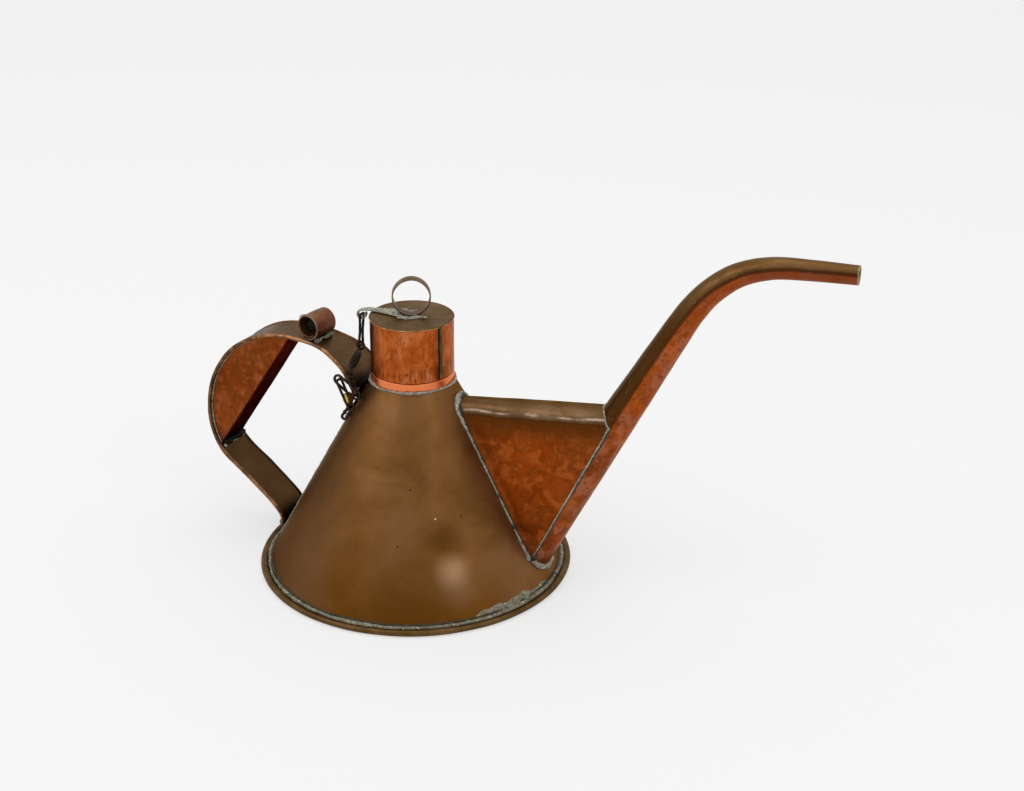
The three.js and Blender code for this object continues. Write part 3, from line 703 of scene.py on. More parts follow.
def make_web():
    section, fractions = web_section(54), steps(0, 1, 64)
    places = [(mix(*web_ends(u, v), t), u, v) for u, v in section for t in fractions]
    piece("web", [sheet(section, fractions, web_faces)], "web", ["spout_web"], places=places * 2)
    outline = Line([on_web_edge(u, v, 0.6) for u, v in section[::3]], 5)
    bead = tube(outline, web_bead_radius, 12, 0.8, 0.4, 3.4, 13)
    piece("web_cone_bead", [bead], "pale", ["web_cone_solder"])
    # Dark dirt with painted shade: a tube under the web's bead on the cone.
    under = Line([on_web_edge(u, v, -0.1) for u, v in section[::3]], 5)
    dirt_shade = tube(under, lambda t: web_bead_radius(t) + 0.45, 12, 1.0, 0.4, 4.4, 15)
    piece("web_cone_dirt_shade", [dirt_shade], "dirt_and_shade")
    over = [(u, v) for u, v in section if v > -WEB_CORNER_R - 5]
    crest = [web_point(web_ends(u, v)[1] - 0.3, u, v) + web_out(u, v) * 0.25 for u, v in over]
    piece("web_crest_bead", [tube(Line(crest[::2], 5), 0.75, 10, 0.8, 0.4, 2.6, 16)], "pale")


# ---------------------------------------------------------------- cap

def cap_beaten(p):
    return p + Vector((p.x, p.y, 0)).normalized() * (0.10 * lump(p, 8, 5) + 0.04 * lump(p, 3, 6))


def lid_sunk(p):
    return p - Vector((0, 0, 0.22 * max(lump(p, 13, 7), 0) * smooth_step(p.z, LID_LOW_Z + 0.5, LID_TOP_Z)))


def cap_lap(degrees, half, rise):
    """A raised strip down the cap's side."""
    def both_faces(z, v):
        a = math.radians(degrees) + v * half * (1 + 0.2 * lump(Vector((0, v, z)), 5, 2)) / CAP_R
        lift = rise * (1 - abs(v) ** 3) * (1 + 0.3 * lump(Vector((v, 0, z)), 2.4, 4)) + 0.05
        return polar(CAP_R + lift, a, z), polar(CAP_R - 0.4, a, z)
    return sheet(steps(CAP_LOW_Z + 1.2, LID_LOW_Z + 0.3, 50), steps(-1, 1, 6), both_faces)


def make_cap():
    low, high = CAP_LOW_Z, CAP_HIGH_Z
    wall = [(CAP_R - 0.5, low), (CAP_R + 0.05, low + 0.25), (CAP_R, low + 1.2)]
    wall += [(CAP_R, z) for z in steps(low + 3, high - 0.4, 26)] + [(CAP_R - 0.3, high + 0.3)]
    wall += [(CAP_R - SHEET, z) for z in steps(high + 0.3, low + 0.1, 20)]
    piece("cap_wall", [lathe(wall, 200, cap_beaten)], "bright", ["cap_side"], "lid")
    lid = [(1, LID_LOW_Z), (20, LID_LOW_Z)] + arc(CAP_R - 0.35, LID_TOP_Z - 0.5, 0.5, -90, 90, 8)
    lid += [(r, LID_TOP_Z - 0.02) for r in (24.8, 22, 18, 14, 10, 6, 3, 1)]
    piece("cap_lid", [lathe(lid, 160, lid_sunk, join=False)], "olive", ["cap_top"], "lid")
    edge = ring_line(CAP_R + 0.08, LID_LOW_Z + 0.15, 0.05, 3)
    # A worn rim with a painted highlight: a thin pale tube round the lid's edge.
    piece("cap_rim_line", [tube(edge, wavy(0.3, 0.08, TAU * 4), 8, 0.8, 0.2, 2, 4)], "rim", body="lid")
    piece("cap_lap", [cap_lap(CAP_SEAM_ANGLE, 1.2, 0.75)], "seam", ["cap_seam_strip"], "lid")
    # Painted shadow: a thin near-black strip beside the cap's lap.
    piece("cap_lap_line", [cap_lap(CAP_SEAM_LINE_ANGLE, 0.55, 0.12)], "soot", body="lid")


def ring_stood(p):
    """From turned about Z to standing on its edge on the lid, a little out of round."""
    pull = 0.012 * math.cos(2 * math.atan2(p.y, p.x) + 0.6)
    return turned(p.x * (1 + pull), -p.z, p.y * (1 - pull) + RING_LOW_Z + RING_R, RING_YAW)


def make_ring():
    half = RING_BAND / 2
    wall = arc(RING_R - 0.3, half - 0.3, 0.3, 0, 90, 3) + [(RING_R - RING_SHEET, half)]
    wall += [(RING_R - RING_SHEET, -half)] + arc(RING_R - 0.3, 0.3 - half, 0.3, -90, 0, 3)
    piece("finger_ring", [lathe(wall, 96, ring_stood)], "ring", ["cap_ring"], "lid")


def tongue_sheet():
    """The tongue: flat on the lid, narrowing, then curled round the chain's eye."""
    z = LID_TOP_Z + 0.75
    points = [(-4, 0, z), (-14, 0, z), (-22, 0, z + 0.1), (-28, 0, z + 0.25)]
    for a in turns(80, -210, 10):
        points.append((-32.0 - TONGUE_CURL_R * math.cos(a), 0, LID_EYE[1] + TONGUE_CURL_R * math.sin(a)))
    line = Line(points, 8)

    def both_faces(s, v):
        half = mix(6.6, 2.5, smooth_step(s, 0, 19)) - 0.9 * smooth_step(s, 22, 34)
        half += 0.35 * lump(Vector((s, 0, 0)), 5, 3)
        along = line.along(s)
        up = Vector((along.z, 0, -along.x))
        p = line.at(s) + Vector((0, v * half, 0))
        crown = 0.25 * (1 - v * v) + 0.18 * lump(p, 3, 4)
        return turned(*(p + up * (0.45 + crown)), TONGUE_ANGLE), turned(*(p - up * 0.4), TONGUE_ANGLE)
    return sheet(steps(0, line.length, 110), steps(-1, 1, 8), both_faces)


def pressed(p):
    """A smear of solder beside the ring, flattened on the lid."""
    return turned(p.x, p.y, mix(LID_TOP_Z, p.z, 0.7), RING_YAW)


def smear_radius(t):
    return 0.6 + 1.1 * math.sin(math.pi * t) ** 0.6


def make_tongue():
    piece("tongue", [tongue_sheet()], "pale", ["cap_tongue"], "lid", edge=0.18)
    smears = []
    for x0, y0, x1, y1, seed in RING_SMEARS:
        points = [(mix(x0, x1, t), mix(y0, y1, t) + 0.8 * math.sin(9 * t + seed), LID_TOP_Z + 0.1)
                  for t in steps(0, 1, 7)]
        smears.append(tube(Line(points, 6), smear_radius, 12, 0.5, 0.55, 2.6, seed, pressed))
    piece("ring_solder", smears, "pale", ["cap_solder"], "lid")


# ---------------------------------------------------------------- handle

strap_line = Line([(x, 0, z) for x, z in STRAP_LINE], per_span=20)
GRIP_TOP, GRIP_LOW = strap_line.nearest(CHORD_TOP), strap_line.nearest(CHORD_LOW)
CHORD_ALONG = (CHORD_LOW - CHORD_TOP).normalized()
CHORD_IN = Vector((CHORD_ALONG.z, 0, -CHORD_ALONG.x))


def strap_half(x):
    return mix(STRAP_HALF, STRAP_ROOT_HALF, smooth_step(x, *STRAP_FLARE_X))


def on_strap(s, inset, y=0.0):
    """A point in the handle's frame, moved in from the strap's outer face."""
    p, along = strap_line.at(s), strap_line.along(s)
    return Vector((p.x - inset * along.z, y, p.z + inset * along.x))


def clear_of_cone(p, offset):
    """Moves a point out to the cone's surface where it would be inside it."""
    short = max(offset - cone_height_off(p), 0)
    return p + Vector((p.x, p.y, 0)).normalized() * short * CONE_SLANT


def strap_faces(s, v):
    y = v * (strap_half(on_strap(s, 0).x) - EDGE_WIRE_R)
    both = []
    for inset, offset in ((0, 1.3), (STRAP_SHEET, 0.1)):
        dip = 0.3 * lump(on_strap(s, inset, y), 16, 5) * (1 - v * v)
        both.append(in_handle(clear_of_cone(on_strap(s, inset + dip, y), offset)))
    return both


def foot_faces(z, v):
    half = FOOT_HALF - 2.5 * smooth_step(FOOT_Z[0] + 3 - z, 0, 3)
    a = math.pi - math.asin(v * half / cone_radius(z))
    return in_handle(on_cone(a, z, 1.3)), in_handle(on_cone(a, z, -0.2))


def make_strap():
    band = sheet(steps(6, strap_line.length, 230), steps(-1, 1, 14), strap_faces)
    foot = sheet(steps(*FOOT_Z, 16), steps(-1, 1, 20), foot_faces)
    piece("strap", [band, foot], "strap", ["handle_strap"], edge=0.2)
    for name, side in SIDES:
        points = []
        for s in steps(7, strap_line.length - 1.0, 110):
            p = on_strap(s, STRAP_SHEET / 2)
            p.y = side * (strap_half(p.x) - EDGE_WIRE_R)
            points.append(clear_of_cone(p, 0.9))
        wire = tube(Line(points, 2), wavy(EDGE_WIRE_R, 0.06, 60), 12, 0.9, 0.1, 6, 2 + side, in_handle)
        piece("strap_edge_" + name, [wire], "edge", ["handle_edge_wire_" + name])


def grip_side(side):
    """One dished side panel, from the strap across to the chord plate."""
    def both_faces(f, t):
        on_band = on_strap(mix(GRIP_TOP, GRIP_LOW, f), STRAP_SHEET - 0.1)
        p = on_band.lerp(CHORD_TOP.lerp(CHORD_LOW, f) + CHORD_IN * 0.2, t)
        dish = 0.9 * (4 * t * (1 - t)) ** 0.7 * (4 * f * (1 - f)) ** 0.7 + 0.35 * lump(p, 13, 6 + side)
        dish *= min(1, 8 * t * (1 - t))
        return [in_handle((p.x, side * (face - dish), p.z)) for face in (GRIP_FACE_Y, GRIP_FACE_Y - SHEET)]
    return sheet(steps(0, 1, 70), steps(0, 1, 30), both_faces)


def chord_faces(t, v):
    p = CHORD_TOP.lerp(CHORD_LOW, t) + Vector((0, v * GRIP_FACE_Y, 0))
    bow = 0.25 * lump(p, 12, 9)
    return in_handle(p + CHORD_IN * bow), in_handle(p + CHORD_IN * (SHEET + bow))


def across_grip(x, z, radius, rough, seed):
    """A bead across the chord plate's lower end."""
    points = [CHORD_LOW + Vector((x, y, z)) for y in steps(-GRIP_FACE_Y, GRIP_FACE_Y, 8)]
    return tube(Line(points, 5), radius, 12, 0.8, rough, 3.2, seed, in_handle)


def make_grip():
    for name, side in SIDES:
        piece("grip_side_" + name, [grip_side(side)], "red", [f"grip_{name}_panel"], edge=0.2)
    chord = sheet(steps(-0.005, 1.01, 50), steps(-1, 1, 16), chord_faces)
    piece("grip_chord", [chord], "maroon", ["grip_chord_plate"], edge=0.25)
    for name, side in SIDES:
        points = [on_strap(s, STRAP_SHEET + 0.45, side * (GRIP_FACE_Y + 0.15))
                  for s in steps(GRIP_TOP + 3, GRIP_LOW - 1, 40)]
        beads = [tube(Line(points, 4), wavy(0.6, 0.15, 31), 10, 0.9, 0.5, 3.0, side, in_handle)]
        if name == "front":
            beads.append(across_grip(1.6, -1.2, wavy(1.1, 0.4, 14), 0.6, 5))
            # Painted shade: a fat near-black bead in the grip's lower corner.
            piece("grip_painted_shade", [across_grip(2.6, 1.2, wavy(2.0, 0.3, 11), 0.5, 8)], "soot")
        piece("grip_bead_" + name, beads, "pale", ["grip_solder_" + name])


def in_roll(x, y, z):
    """From the thumb rest's own frame to the handle's."""
    return turned(x, y, z, ROLL_YAW) + ROLL_CENTRE


def roll_faces(t, y):
    a = -math.pi / 2 + TAU * ROLL_TURNS * t
    wave = 0.15 * lump(Vector((3 * math.cos(a), y / 3, 3 * math.sin(a))), 2.5, 3)
    radii = [ROLL_R - inset - ROLL_SHRINK * t + wave for inset in (0, SHEET)]
    return [in_handle(in_roll(r * math.cos(a), y, r * math.sin(a))) for r in radii]


def make_roll():
    half = ROLL_LENGTH / 2
    piece("thumb_rest", [sheet(steps(0, 1, 90), steps(-half, half, 14), roll_faces)], "roll", ["thumb_roll"],
          edge=0.2)
    core = Line([in_roll(0.4, y, 0.5) for y in (-6.4, 0, 7.4)], 4)
    inner_r = ROLL_R - SHEET - ROLL_SHRINK * ROLL_TURNS
    # Painted shade: a near-black tube filling the thumb rest's bore.
    piece("thumb_rest_bore", [tube(core, inner_r, 40, 2, carry=in_handle)], "soot")
    r = ROLL_R - 0.35
    rim = Line([in_roll(r * math.cos(a), -half - 0.05, r * math.sin(a)) for a in steps(-1.9, 2.4, 40)], 2)
    piece("thumb_rest_rim", [tube(rim, 0.3, 8, 0.8, carry=in_handle)], "dull")
    beads = []
    for x, z, reach, r, seed in ROLL_BEADS:
        line = Line([in_roll(x + 0.5 * math.sin(y), y, z) for y in steps(-reach, reach, 9)], 5)
        beads.append(tube(line, wavy(0.8 * r, 0.35 * r, 9, 1), 12, 0.6, 0.6, 2.8, seed, in_handle))
    piece("thumb_rest_bead", beads, "dull", ["thumb_roll_solder"])


def make_handle_solder():
    low = Line([(-95.4, y, 8.2 - 0.004 * y * y) for y in steps(-13, 13, 12)], 5)
    bead = tube(low, wavy(1.5, 0.4, 17), 12, 0.8, 0.6, 3.4, 4, in_handle)
    piece("lower_root_bead", [bead], "dull", ["lower_handle_solder"])
    high = Line([on_cone(a, FOOT_Z[0] - 0.6, 0.4) for a in turns(160, 200, 14)], 5)
    bead = tube(high, wavy(1.3, 0.35, 21), 12, 0.8, 0.6, 3.0, 6, in_handle)
    piece("upper_root_bead", [bead], "dull", ["upper_handle_solder"])
    piece("cone_lap", [lap_seam()], "dull")


# ---------------------------------------------------------------- chain

def hung(start, end, y):
    """Carries points from a link's own frame, its first pivot at the origin and its second straight below."""
    down = math.atan2(start[0] - end[0], start[1] - end[1])
    sine, cosine = math.sin(down), math.cos(down)

    def carry(p):
        x, z = p.x * cosine + p.z * sine, p.z * cosine - p.x * sine
        return in_handle((start[0] + x, y + p.y, start[1] + z))
    return carry


def loop_points(half, top, bottom, corner, waist):
    """(across, height) round a rounded loop, nipped in at the middle."""
    points = []
    across, high, low = half - corner, top - corner, bottom + corner
    for cx, cz, start in ((across, high, 0), (-across, high, 90), (-across, low, 180), (across, low, 270)):
        points += arc(cx, cz, corner, start, start + 90, 4)
        if start in (90, 270):
            for t in steps(0, 1, 6)[1:-1]:
                nipped = half - waist * math.sin(math.pi * t)
                points.append((math.copysign(nipped, cx), mix(cz, high + low - cz, t)))
    return points


def span(start, end):
    return math.hypot(start[0] - end[0], start[1] - end[1])


def edge_link(start, end, y, waist):
    outline = loop_points(EDGE_LINK_HALF, 0, -span(start, end), 1.1, waist)
    line = Line([(0, u, z) for u, z in outline], 4, loop=True)
    return tube(line, WIRE_R, 12, 0.4, 0.12, 2.5, span(start, end), hung(start, end, y))


def slot_link(start, end, y, reach=SLOT_REACH, wire=WIRE_R):
    outline = loop_points(reach, reach, -span(start, end) - reach, reach - 0.01, 0.0)
    line = Line([(u, 0, z) for u, z in outline], 4, loop=True)
    return tube(line, wire, 12, 0.4, 0.12, 2.5, 3, hung(start, end, y))


def eye(centre, y):
    ring = [Vector((centre[0], y, centre[1])) + Vector((math.cos(a), 0, math.sin(a))) * EYE_MID_R
            for a in steps(0, TAU, 16)[:-1]]
    return tube(Line(ring, 4, loop=True), 0.8, 12, 0.4, 0.15, 2, y, in_handle)


def flat_line():
    start = Vector((LONG_END[0], LID_PLANE_Y, LONG_END[1] - EYE_MID_R))
    end = Vector((FLAT_END[0], STRAP_PLANE_Y, FLAT_END[1] + EYE_MID_R))
    return Line([start, start + Vector((0.2, -3.4, -1.4)), start.lerp(end, 0.5),
                 end + Vector((-0.2, 3.4, 1.2)), end], 12)


def on_leaf(line, t, v, lift):
    """A point on the flat link: along it by t, across it by v, and lifted off its middle face."""
    along = line.along(t * line.length)
    across = along.cross(LEAF_FACING).normalized()
    out = across.cross(along)
    half = 0.9 + 3.0 * math.sin(math.pi * t) ** 0.8
    return in_handle(line.at(t * line.length) + across * v * half + out * (lift - 0.5 * v * v))


def flat_leaf():
    line = flat_line()

    def both_faces(t, v):
        return on_leaf(line, t, v, 0.5), on_leaf(line, t, v, -0.5)
    return sheet(steps(0, 1, 36), steps(-1, 1, 8), both_faces)


def leaf_rim():
    line = flat_line()
    # A pale line along one edge of the flat link.
    points = [on_leaf(line, t, LEAF_PALE_SIDE, 0.25) for t in steps(0.1, 0.9, 20)]
    return tube(Line(points, 3), wavy(0.16, 0.2, math.pi), 8, 0.6, 0.2, 2, 1)


def staple_stem():
    start = Vector((STAPLE[0] - 1.8, STRAP_PLANE_Y, STAPLE[1] - 1.8))
    end = Vector((-41.6, -14, 99))
    line = Line([start, start.lerp(end, 0.5) + Vector((-0.8, -0.8, 0)), end], 14)
    return tube(line, lambda t: 0.85 + 0.5 * t, 12, 0.5, 0.15, 3, 6, in_handle)


def ferrule():
    """A folded brass sleeve round both wires of the lowest link, fullest in its middle and narrower at both
    ends.
    """
    carry = hung(ELBOW, STAPLE, STRAP_PLANE_Y)
    rows = []
    for t in steps(0, 1, 16):
        size = 0.55 + 0.45 * math.sin(math.pi * t) ** 0.55
        outline = loop_points(4.0 * size, 2.1 * size, -2.1 * size, 1.7 * size, 0.0)
        row = [Vector((w, u, mix(*FERRULE_SPAN, t))) for u, w in outline]
        rows.append([carry(p + Vector((0.2 * lump(p, 2.5, 2), 1.2, 0))) for p in row])
    return skin(rows, ends=True)


def speck(x, y, z, half):
    """A bright fleck of solder by the staple's root, which also stands in for a painted glint."""
    points = [(x - half, y, z), (x, y + 0.3, z + 0.4), (x + half, y - 0.2, z + 0.9)]
    return tube(Line(points, 4), 0.5, 8, 0.3, 0.5, 1.4, x, in_handle)


def make_chain():
    long_link = edge_link(LID_EYE, LONG_END, LID_PLANE_Y, 0.9)
    piece("chain_long", [long_link], "bronze", ["chain_link_long"], "link_long")
    flat_link = [eye(LONG_END, LID_PLANE_Y), eye(FLAT_END, STRAP_PLANE_Y), flat_leaf()]
    piece("chain_flat", flat_link, "bronze", ["chain_link_flat"], "link_flat")
    piece("chain_flat_rim", [leaf_rim()], "pale", body="link_flat")
    loop_link = edge_link(FLAT_END, LOOP_END, STRAP_PLANE_Y, 0.5)
    piece("chain_loop", [loop_link], "bronze", ["chain_link_loop"], "link_loop")
    hook_link = slot_link(ELBOW, LOOP_END, STRAP_PLANE_Y)
    piece("chain_hook", [hook_link], "bronze", ["chain_link_hook"], "link_hook")
    wire_link = edge_link(ELBOW, STAPLE, STRAP_PLANE_Y, 0.0)
    piece("chain_wire", [wire_link], "bronze", ["chain_link_wire"], "link_wire")
    piece("chain_brass", [ferrule()], "brass", ["chain_ferrule"], "link_wire")
    hanging_eye = slot_link(*STAPLE_EYE, STRAP_PLANE_Y + 0.6, 1.5, 0.9)
    piece("staple", [eye(STAPLE, STRAP_PLANE_Y), staple_stem(), hanging_eye], "bronze", ["chain_staple"])
    piece("staple_specks", [speck(*place) for place in STAPLE_SPECKS], "pale")


# ---------------------------------------------------------------- materials

DEEP_TINT = (0.50, 0.40, 0.30, 1)
SOFT_TINT = (0.85, 0.78, 0.70, 1)
WORN_GRAIN = ((5, 3, 0.5), (0.9, 4, 0.6), 0.25)
SOLDER_GRAIN = ((1.8, 4, 0.6), (0.6, 3, 0.6), 0.4)

RED_TONES = [(0.30, (92, 36, 4)), (0.42, (116, 50, 8)), (0.54, (132, 62, 18)), (0.66, (142, 78, 40)),
             (0.76, (156, 98, 70))]
PALE_TONES = [(0.32, (88, 82, 64)), (0.44, (126, 122, 106)), (0.56, (154, 150, 136)), (0.7, (204, 200, 186))]
DULL_TONES = [(0.32, (66, 60, 42)), (0.46, (104, 100, 80)), (0.58, (134, 130, 112)), (0.72, (190, 184, 168))]


def srgb(rgb):
    """A colour given as 0 to 255 on screen, in the linear values that nodes take."""
    return (*(c / 3294.6 if c <= 10.31 else ((c / 255 + 0.055) / 1.055) ** 2.4 for c in rgb), 1.0)


class Nodes:
    """Nodes in one tree. A value is a number, a vector or another node's socket."""

    def __init__(self, tree):
        self.tree = tree

    def put(self, value, socket):
        if isinstance(value, bpy.types.NodeSocket):
            self.tree.links.new(value, socket)
        else:
            socket.default_value = value

    def node(self, kind, output, values, **settings):
        made = self.tree.nodes.new("ShaderNode" + kind)
        for key, value in settings.items():
            setattr(made, key, value)
        for key, value in values.items():
            self.put(value, made.inputs[key])
        return made.outputs[output]

    def math(self, operation, a, b):
        return self.node("Math", 0, {0: a, 1: b}, operation=operation)

    def product(self, *factors):
        return functools.reduce(lambda a, b: self.math("MULTIPLY", a, b), factors)

    def ranged(self, value, low, high, to_low=0.0, to_high=1.0):
        """From to_low at low to to_high at high, eased at both ends."""
        limits = {"From Min": low, "From Max": high, "To Min": to_low, "To Max": to_high}
        return self.node("MapRange", "Result", {"Value": value, **limits}, interpolation_type="SMOOTHSTEP")


class Graph(Nodes):
    """A material with one principled shader. colour is what has been painted so far."""

    def __init__(self, name):
        self.material = bpy.data.materials.new(name)
        self.material.use_nodes = True
        super().__init__(self.material.node_tree)
        self.tree.nodes.clear()
        self.shader = self.tree.nodes.new("ShaderNodeBsdfPrincipled")
        output = self.tree.nodes.new("ShaderNodeOutputMaterial")
        self.put(self.shader.outputs["BSDF"], output.inputs["Surface"])
        self.coords = self.node("TexCoord", "Object", {})
        self.x, self.y, self.z = (self.axis(name) for name in "XYZ")

    def axis(self, name, source=None):
        return self.node("SeparateXYZ", name, {0: source or self.coords})

    def place(self):
        """The unbent place that a piece carries for each point."""
        return self.node("Attribute", "Vector", {}, attribute_name="place")

    def noise(self, size, detail=5.0, roughness=0.55, warp=0.0, stretch=(1, 1, 1), source=None, shift=0.0):
        """Soft noise, mostly 0.3 to 0.7, with features of about size millimetres."""
        moved = self.node("Mapping", "Vector", {
            "Vector": source or self.coords, "Scale": [c / (size * MM) for c in stretch],
            "Location": (shift, 2 * shift, 3 * shift)})
        return self.node("TexNoise", "Fac", {
            "Vector": moved, "Scale": 1.0, "Detail": detail, "Roughness": roughness, "Distortion": warp})

    def band(self, length, low, high, to_low=0.0, to_high=1.0):
        """ranged for a length, with its limits in millimetres."""
        return self.ranged(length, low * MM, high * MM, to_low, to_high)

    def near(self, point, low, high):
        """1 within low millimetres of a point in the row frame, falling to 0 at high."""
        ends = {0: self.coords, 1: Vector(point) * MM}
        return self.band(self.node("VectorMath", "Value", ends, operation="DISTANCE"), low, high, 1.0, 0.0)

    def cone_radius(self):
        """The cone's radius at a point's height, in metres."""
        return self.math("ADD", self.product(self.z, -CONE_SLOPE), cone_radius(0) * MM)

    def off_cone(self):
        """How far out from the cone a point is, level with it, in metres."""
        square = self.math("ADD", self.product(self.x, self.x), self.product(self.y, self.y))
        return self.math("SUBTRACT", self.math("POWER", square, 0.5), self.cone_radius())

    def mottled(self, tones, size, share=0.28, stretch=(1, 1, 1), source=None, warp=0.6):
        """Colour from broad clouds with finer mottling in them. tones are (noise value, screen colour)."""
        clouds = self.noise(size, 4, 0.6, warp, stretch, source)
        fine = self.noise(size / 6, 6, 0.65, 0.3, stretch, source, 3)
        both = self.math("ADD", self.product(clouds, 1 - share), self.product(fine, share))
        ramp = self.tree.nodes.new("ShaderNodeValToRGB")
        self.put(both, ramp.inputs["Fac"])
        elements = ramp.color_ramp.elements
        elements[0].position, elements[1].position = tones[0][0], tones[-1][0]
        for position, _ in tones[1:-1]:
            elements.new(position)
        for element, (_, rgb) in zip(elements, tones):
            element.color = srgb(rgb)
        return ramp.outputs["Color"]

    def blend(self, mask, a, b):
        return self.node("Mix", 2, {0: mask, 6: a, 7: b}, data_type="RGBA")

    def paint(self, mask, rgb, amount=None):
        """Lays a screen colour over what is there, where the mask is 1."""
        if amount is not None:
            mask = self.product(mask, amount)
        self.colour = self.blend(mask, self.colour, srgb(rgb))

    def patches(self, low, high, amount, rgb, *noise, **more):
        """Paints where a noise, given by its own arguments, rises from low to high."""
        self.paint(self.ranged(self.noise(*noise, **more), low, high, 0.0, amount), rgb)

    def specks(self, size, threshold, rgb, amount=1.0):
        self.patches(threshold, threshold + 0.03, amount, rgb, size, 1, 0.5, shift=11)

    def finish(self, depth, satin, metallic, tint=SOFT_TINT, grain=WORN_GRAIN):
        """depth is the bump's in millimetres, satin the lowest and highest roughness and their size."""
        broad, fine, share = grain
        fine = self.product(self.noise(*fine, shift=9), share)
        height = self.math("ADD", self.noise(*broad, shift=5), fine)
        normal = self.node("Bump", "Normal", {"Distance": depth * MM, "Height": height})
        low, high, size = satin
        rough = self.ranged(self.noise(size, 6, 0.65, 0.4, shift=7), 0.32, 0.68, low, high)
        for key, value in (("Base Color", self.colour), ("Normal", normal), ("Roughness", rough),
                           ("Metallic", metallic)):
            self.put(value, self.shader.inputs[key])
        if metallic > 0.8:
            self.shader.inputs["Specular Tint"].default_value = tint
        return self.material


def cone_material():
    """Brown patina: warmer and deeper low in front; greyer to the left, part patina, part painted light;
    painted shade where it turns away there; painted shade and highlights at the dent.
    """
    g = Graph("aged_copper_body")
    tones = [(0.30, (92, 60, 24)), (0.45, (110, 73, 37)), (0.55, (120, 82, 46)), (0.70, (128, 92, 60))]
    g.colour = g.mottled(tones, 52, 0.14)
    warm = g.product(g.band(g.z, 0, 70, 0.85, 0.0), g.band(g.y, -20, -70), g.band(g.x, -65, -15))
    g.paint(warm, (92, 54, 4))
    # Greyer to the left: partly patina, partly painted light.
    g.paint(g.band(g.x, -12, -50, 0.0, 0.55), (104, 76, 54))
    # Painted shade where the cone turns away on the left.
    g.paint(g.ranged(g.math("DIVIDE", g.x, g.cone_radius()), -0.35, -0.95, 0.0, 0.6), (82, 56, 34))
    # Painted shade above the dent and painted highlights below it.
    for degrees, rise, reach, amount, rgb in DENT_PAINTED_LIGHT:
        g.paint(g.near(by_dent(degrees, rise), 1, reach), rgb, amount)
    g.patches(0.58, 0.72, 0.25, (120, 74, 42), 17, 3, 0.5, 1.0, shift=21)
    g.specks(2.6, 0.80, (52, 28, 10))
    for degrees, z, size, rgb in CONE_PITS:
        g.paint(g.near(on_cone(math.radians(degrees), z), 0.4 * size, size), rgb, 0.8)
    return g.finish(0.022, (0.42, 0.54, 30), 0.9, DEEP_TINT)


def olive_material():
    g = Graph("aged_copper_olive")
    g.colour = g.mottled([(0.32, (70, 50, 22)), (0.5, (92, 69, 37)), (0.68, (112, 85, 54))], 22, 0.3)
    g.patches(0.54, 0.68, 0.5, (112, 78, 52), 13, 3, 0.5, 0.6, shift=33)
    g.patches(0.60, 0.75, 0.3, (122, 88, 52), 3, 5, 0.7, shift=2)
    g.specks(1.6, 0.77, (36, 28, 12))
    return g.finish(0.05, (0.36, 0.50, 14), 0.92)


def strap_material():
    """Brown strap, darker down the lower arm, with near-black painted shade where it meets the cone."""
    g = Graph("aged_copper_strap")
    g.colour = g.mottled([(0.32, (66, 46, 24)), (0.5, (88, 64, 40)), (0.68, (106, 80, 58))], 22, 0.3)
    g.paint(g.band(g.z, 75, 45, 0.0, 0.75), (66, 44, 14))
    # Near-black painted shade on the strap where it comes close to the cone.
    g.paint(g.band(g.off_cone(), 4, 11, 0.94, 0.0), (10, 7, 3))
    g.specks(1.6, 0.77, (36, 28, 12))
    return g.finish(0.05, (0.36, 0.50, 14), 0.92)


def bright_material():
    """Handled copper: brown streaks that run down, dark fingers low down, deep maroon to the left."""
    g = Graph("bright_copper_streaked")
    tones = [(0.30, (126, 50, 8)), (0.44, (158, 74, 22)), (0.56, (176, 90, 38)), (0.70, (192, 108, 62))]
    g.colour = g.mottled(tones, 14, 0.16, (1.2, 1.2, 0.8), warp=1.5)
    streaks = g.noise(6, 3, 0.5, 1.2, (1.2, 1.2, 0.5), shift=4)
    g.paint(g.ranged(streaks, 0.52, 0.66, 0.0, 0.5), (126, 50, 6))
    fingers = g.ranged(g.noise(2.2, 3, 0.6, 0.5, (1.5, 1.5, 0.12), shift=24), 0.50, 0.58)
    g.paint(g.product(fingers, g.band(g.z, 146, 136), g.band(g.z, 132.5, 134.5)), (92, 34, 8), 0.75)
    g.patches(0.56, 0.70, 0.4, (204, 130, 88), 7, 4, 0.55, 1.0, (1.3, 1.3, 0.5), shift=28)
    g.paint(g.band(g.x, -9, -14, 0.0, 0.6), (118, 52, 10))
    ragged_x = g.math("ADD", g.x, g.product(streaks, 6 * MM))
    g.paint(g.band(ragged_x, -14.5, -17.5, 0.0, 0.95), (56, 12, 6))
    g.paint(g.band(g.z, 132.2, 131.4, 0.0, 0.85), (236, 132, 84))
    broken = g.ranged(g.noise(1.2, 4, 0.6, shift=8), 0.45, 0.55)
    g.paint(g.product(g.near((6.2, -25.2, 138.4), 0.6, 2.2), broken), (60, 34, 10))
    g.specks(1.5, 0.74, (84, 30, 10), 0.7)
    return g.finish(0.05, (0.26, 0.40, 8), 0.95)


def edge_material():
    """The strap's wired edges: worn and with a painted highlight in front, dark behind low down."""
    g = Graph("worn_copper_edge")
    tones = [(0.34, (60, 36, 18)), (0.5, (94, 62, 38)), (0.62, (122, 82, 54)), (0.72, (176, 124, 84))]
    g.colour = g.mottled(tones, 9, 0.4)
    # Painted highlight with wear: brighter patches on the front wire.
    worn_lit = g.ranged(g.noise(7, 3, 0.6, shift=12), 0.40, 0.60)
    g.paint(g.product(g.band(g.y, 4, -4), worn_lit), (192, 138, 98), 0.5)
    g.paint(g.product(g.band(g.y, 6, 14), g.band(g.z, 85, 65)), (30, 18, 8), 0.85)
    return g.finish(0.04, (0.26, 0.42, 6), 0.92)


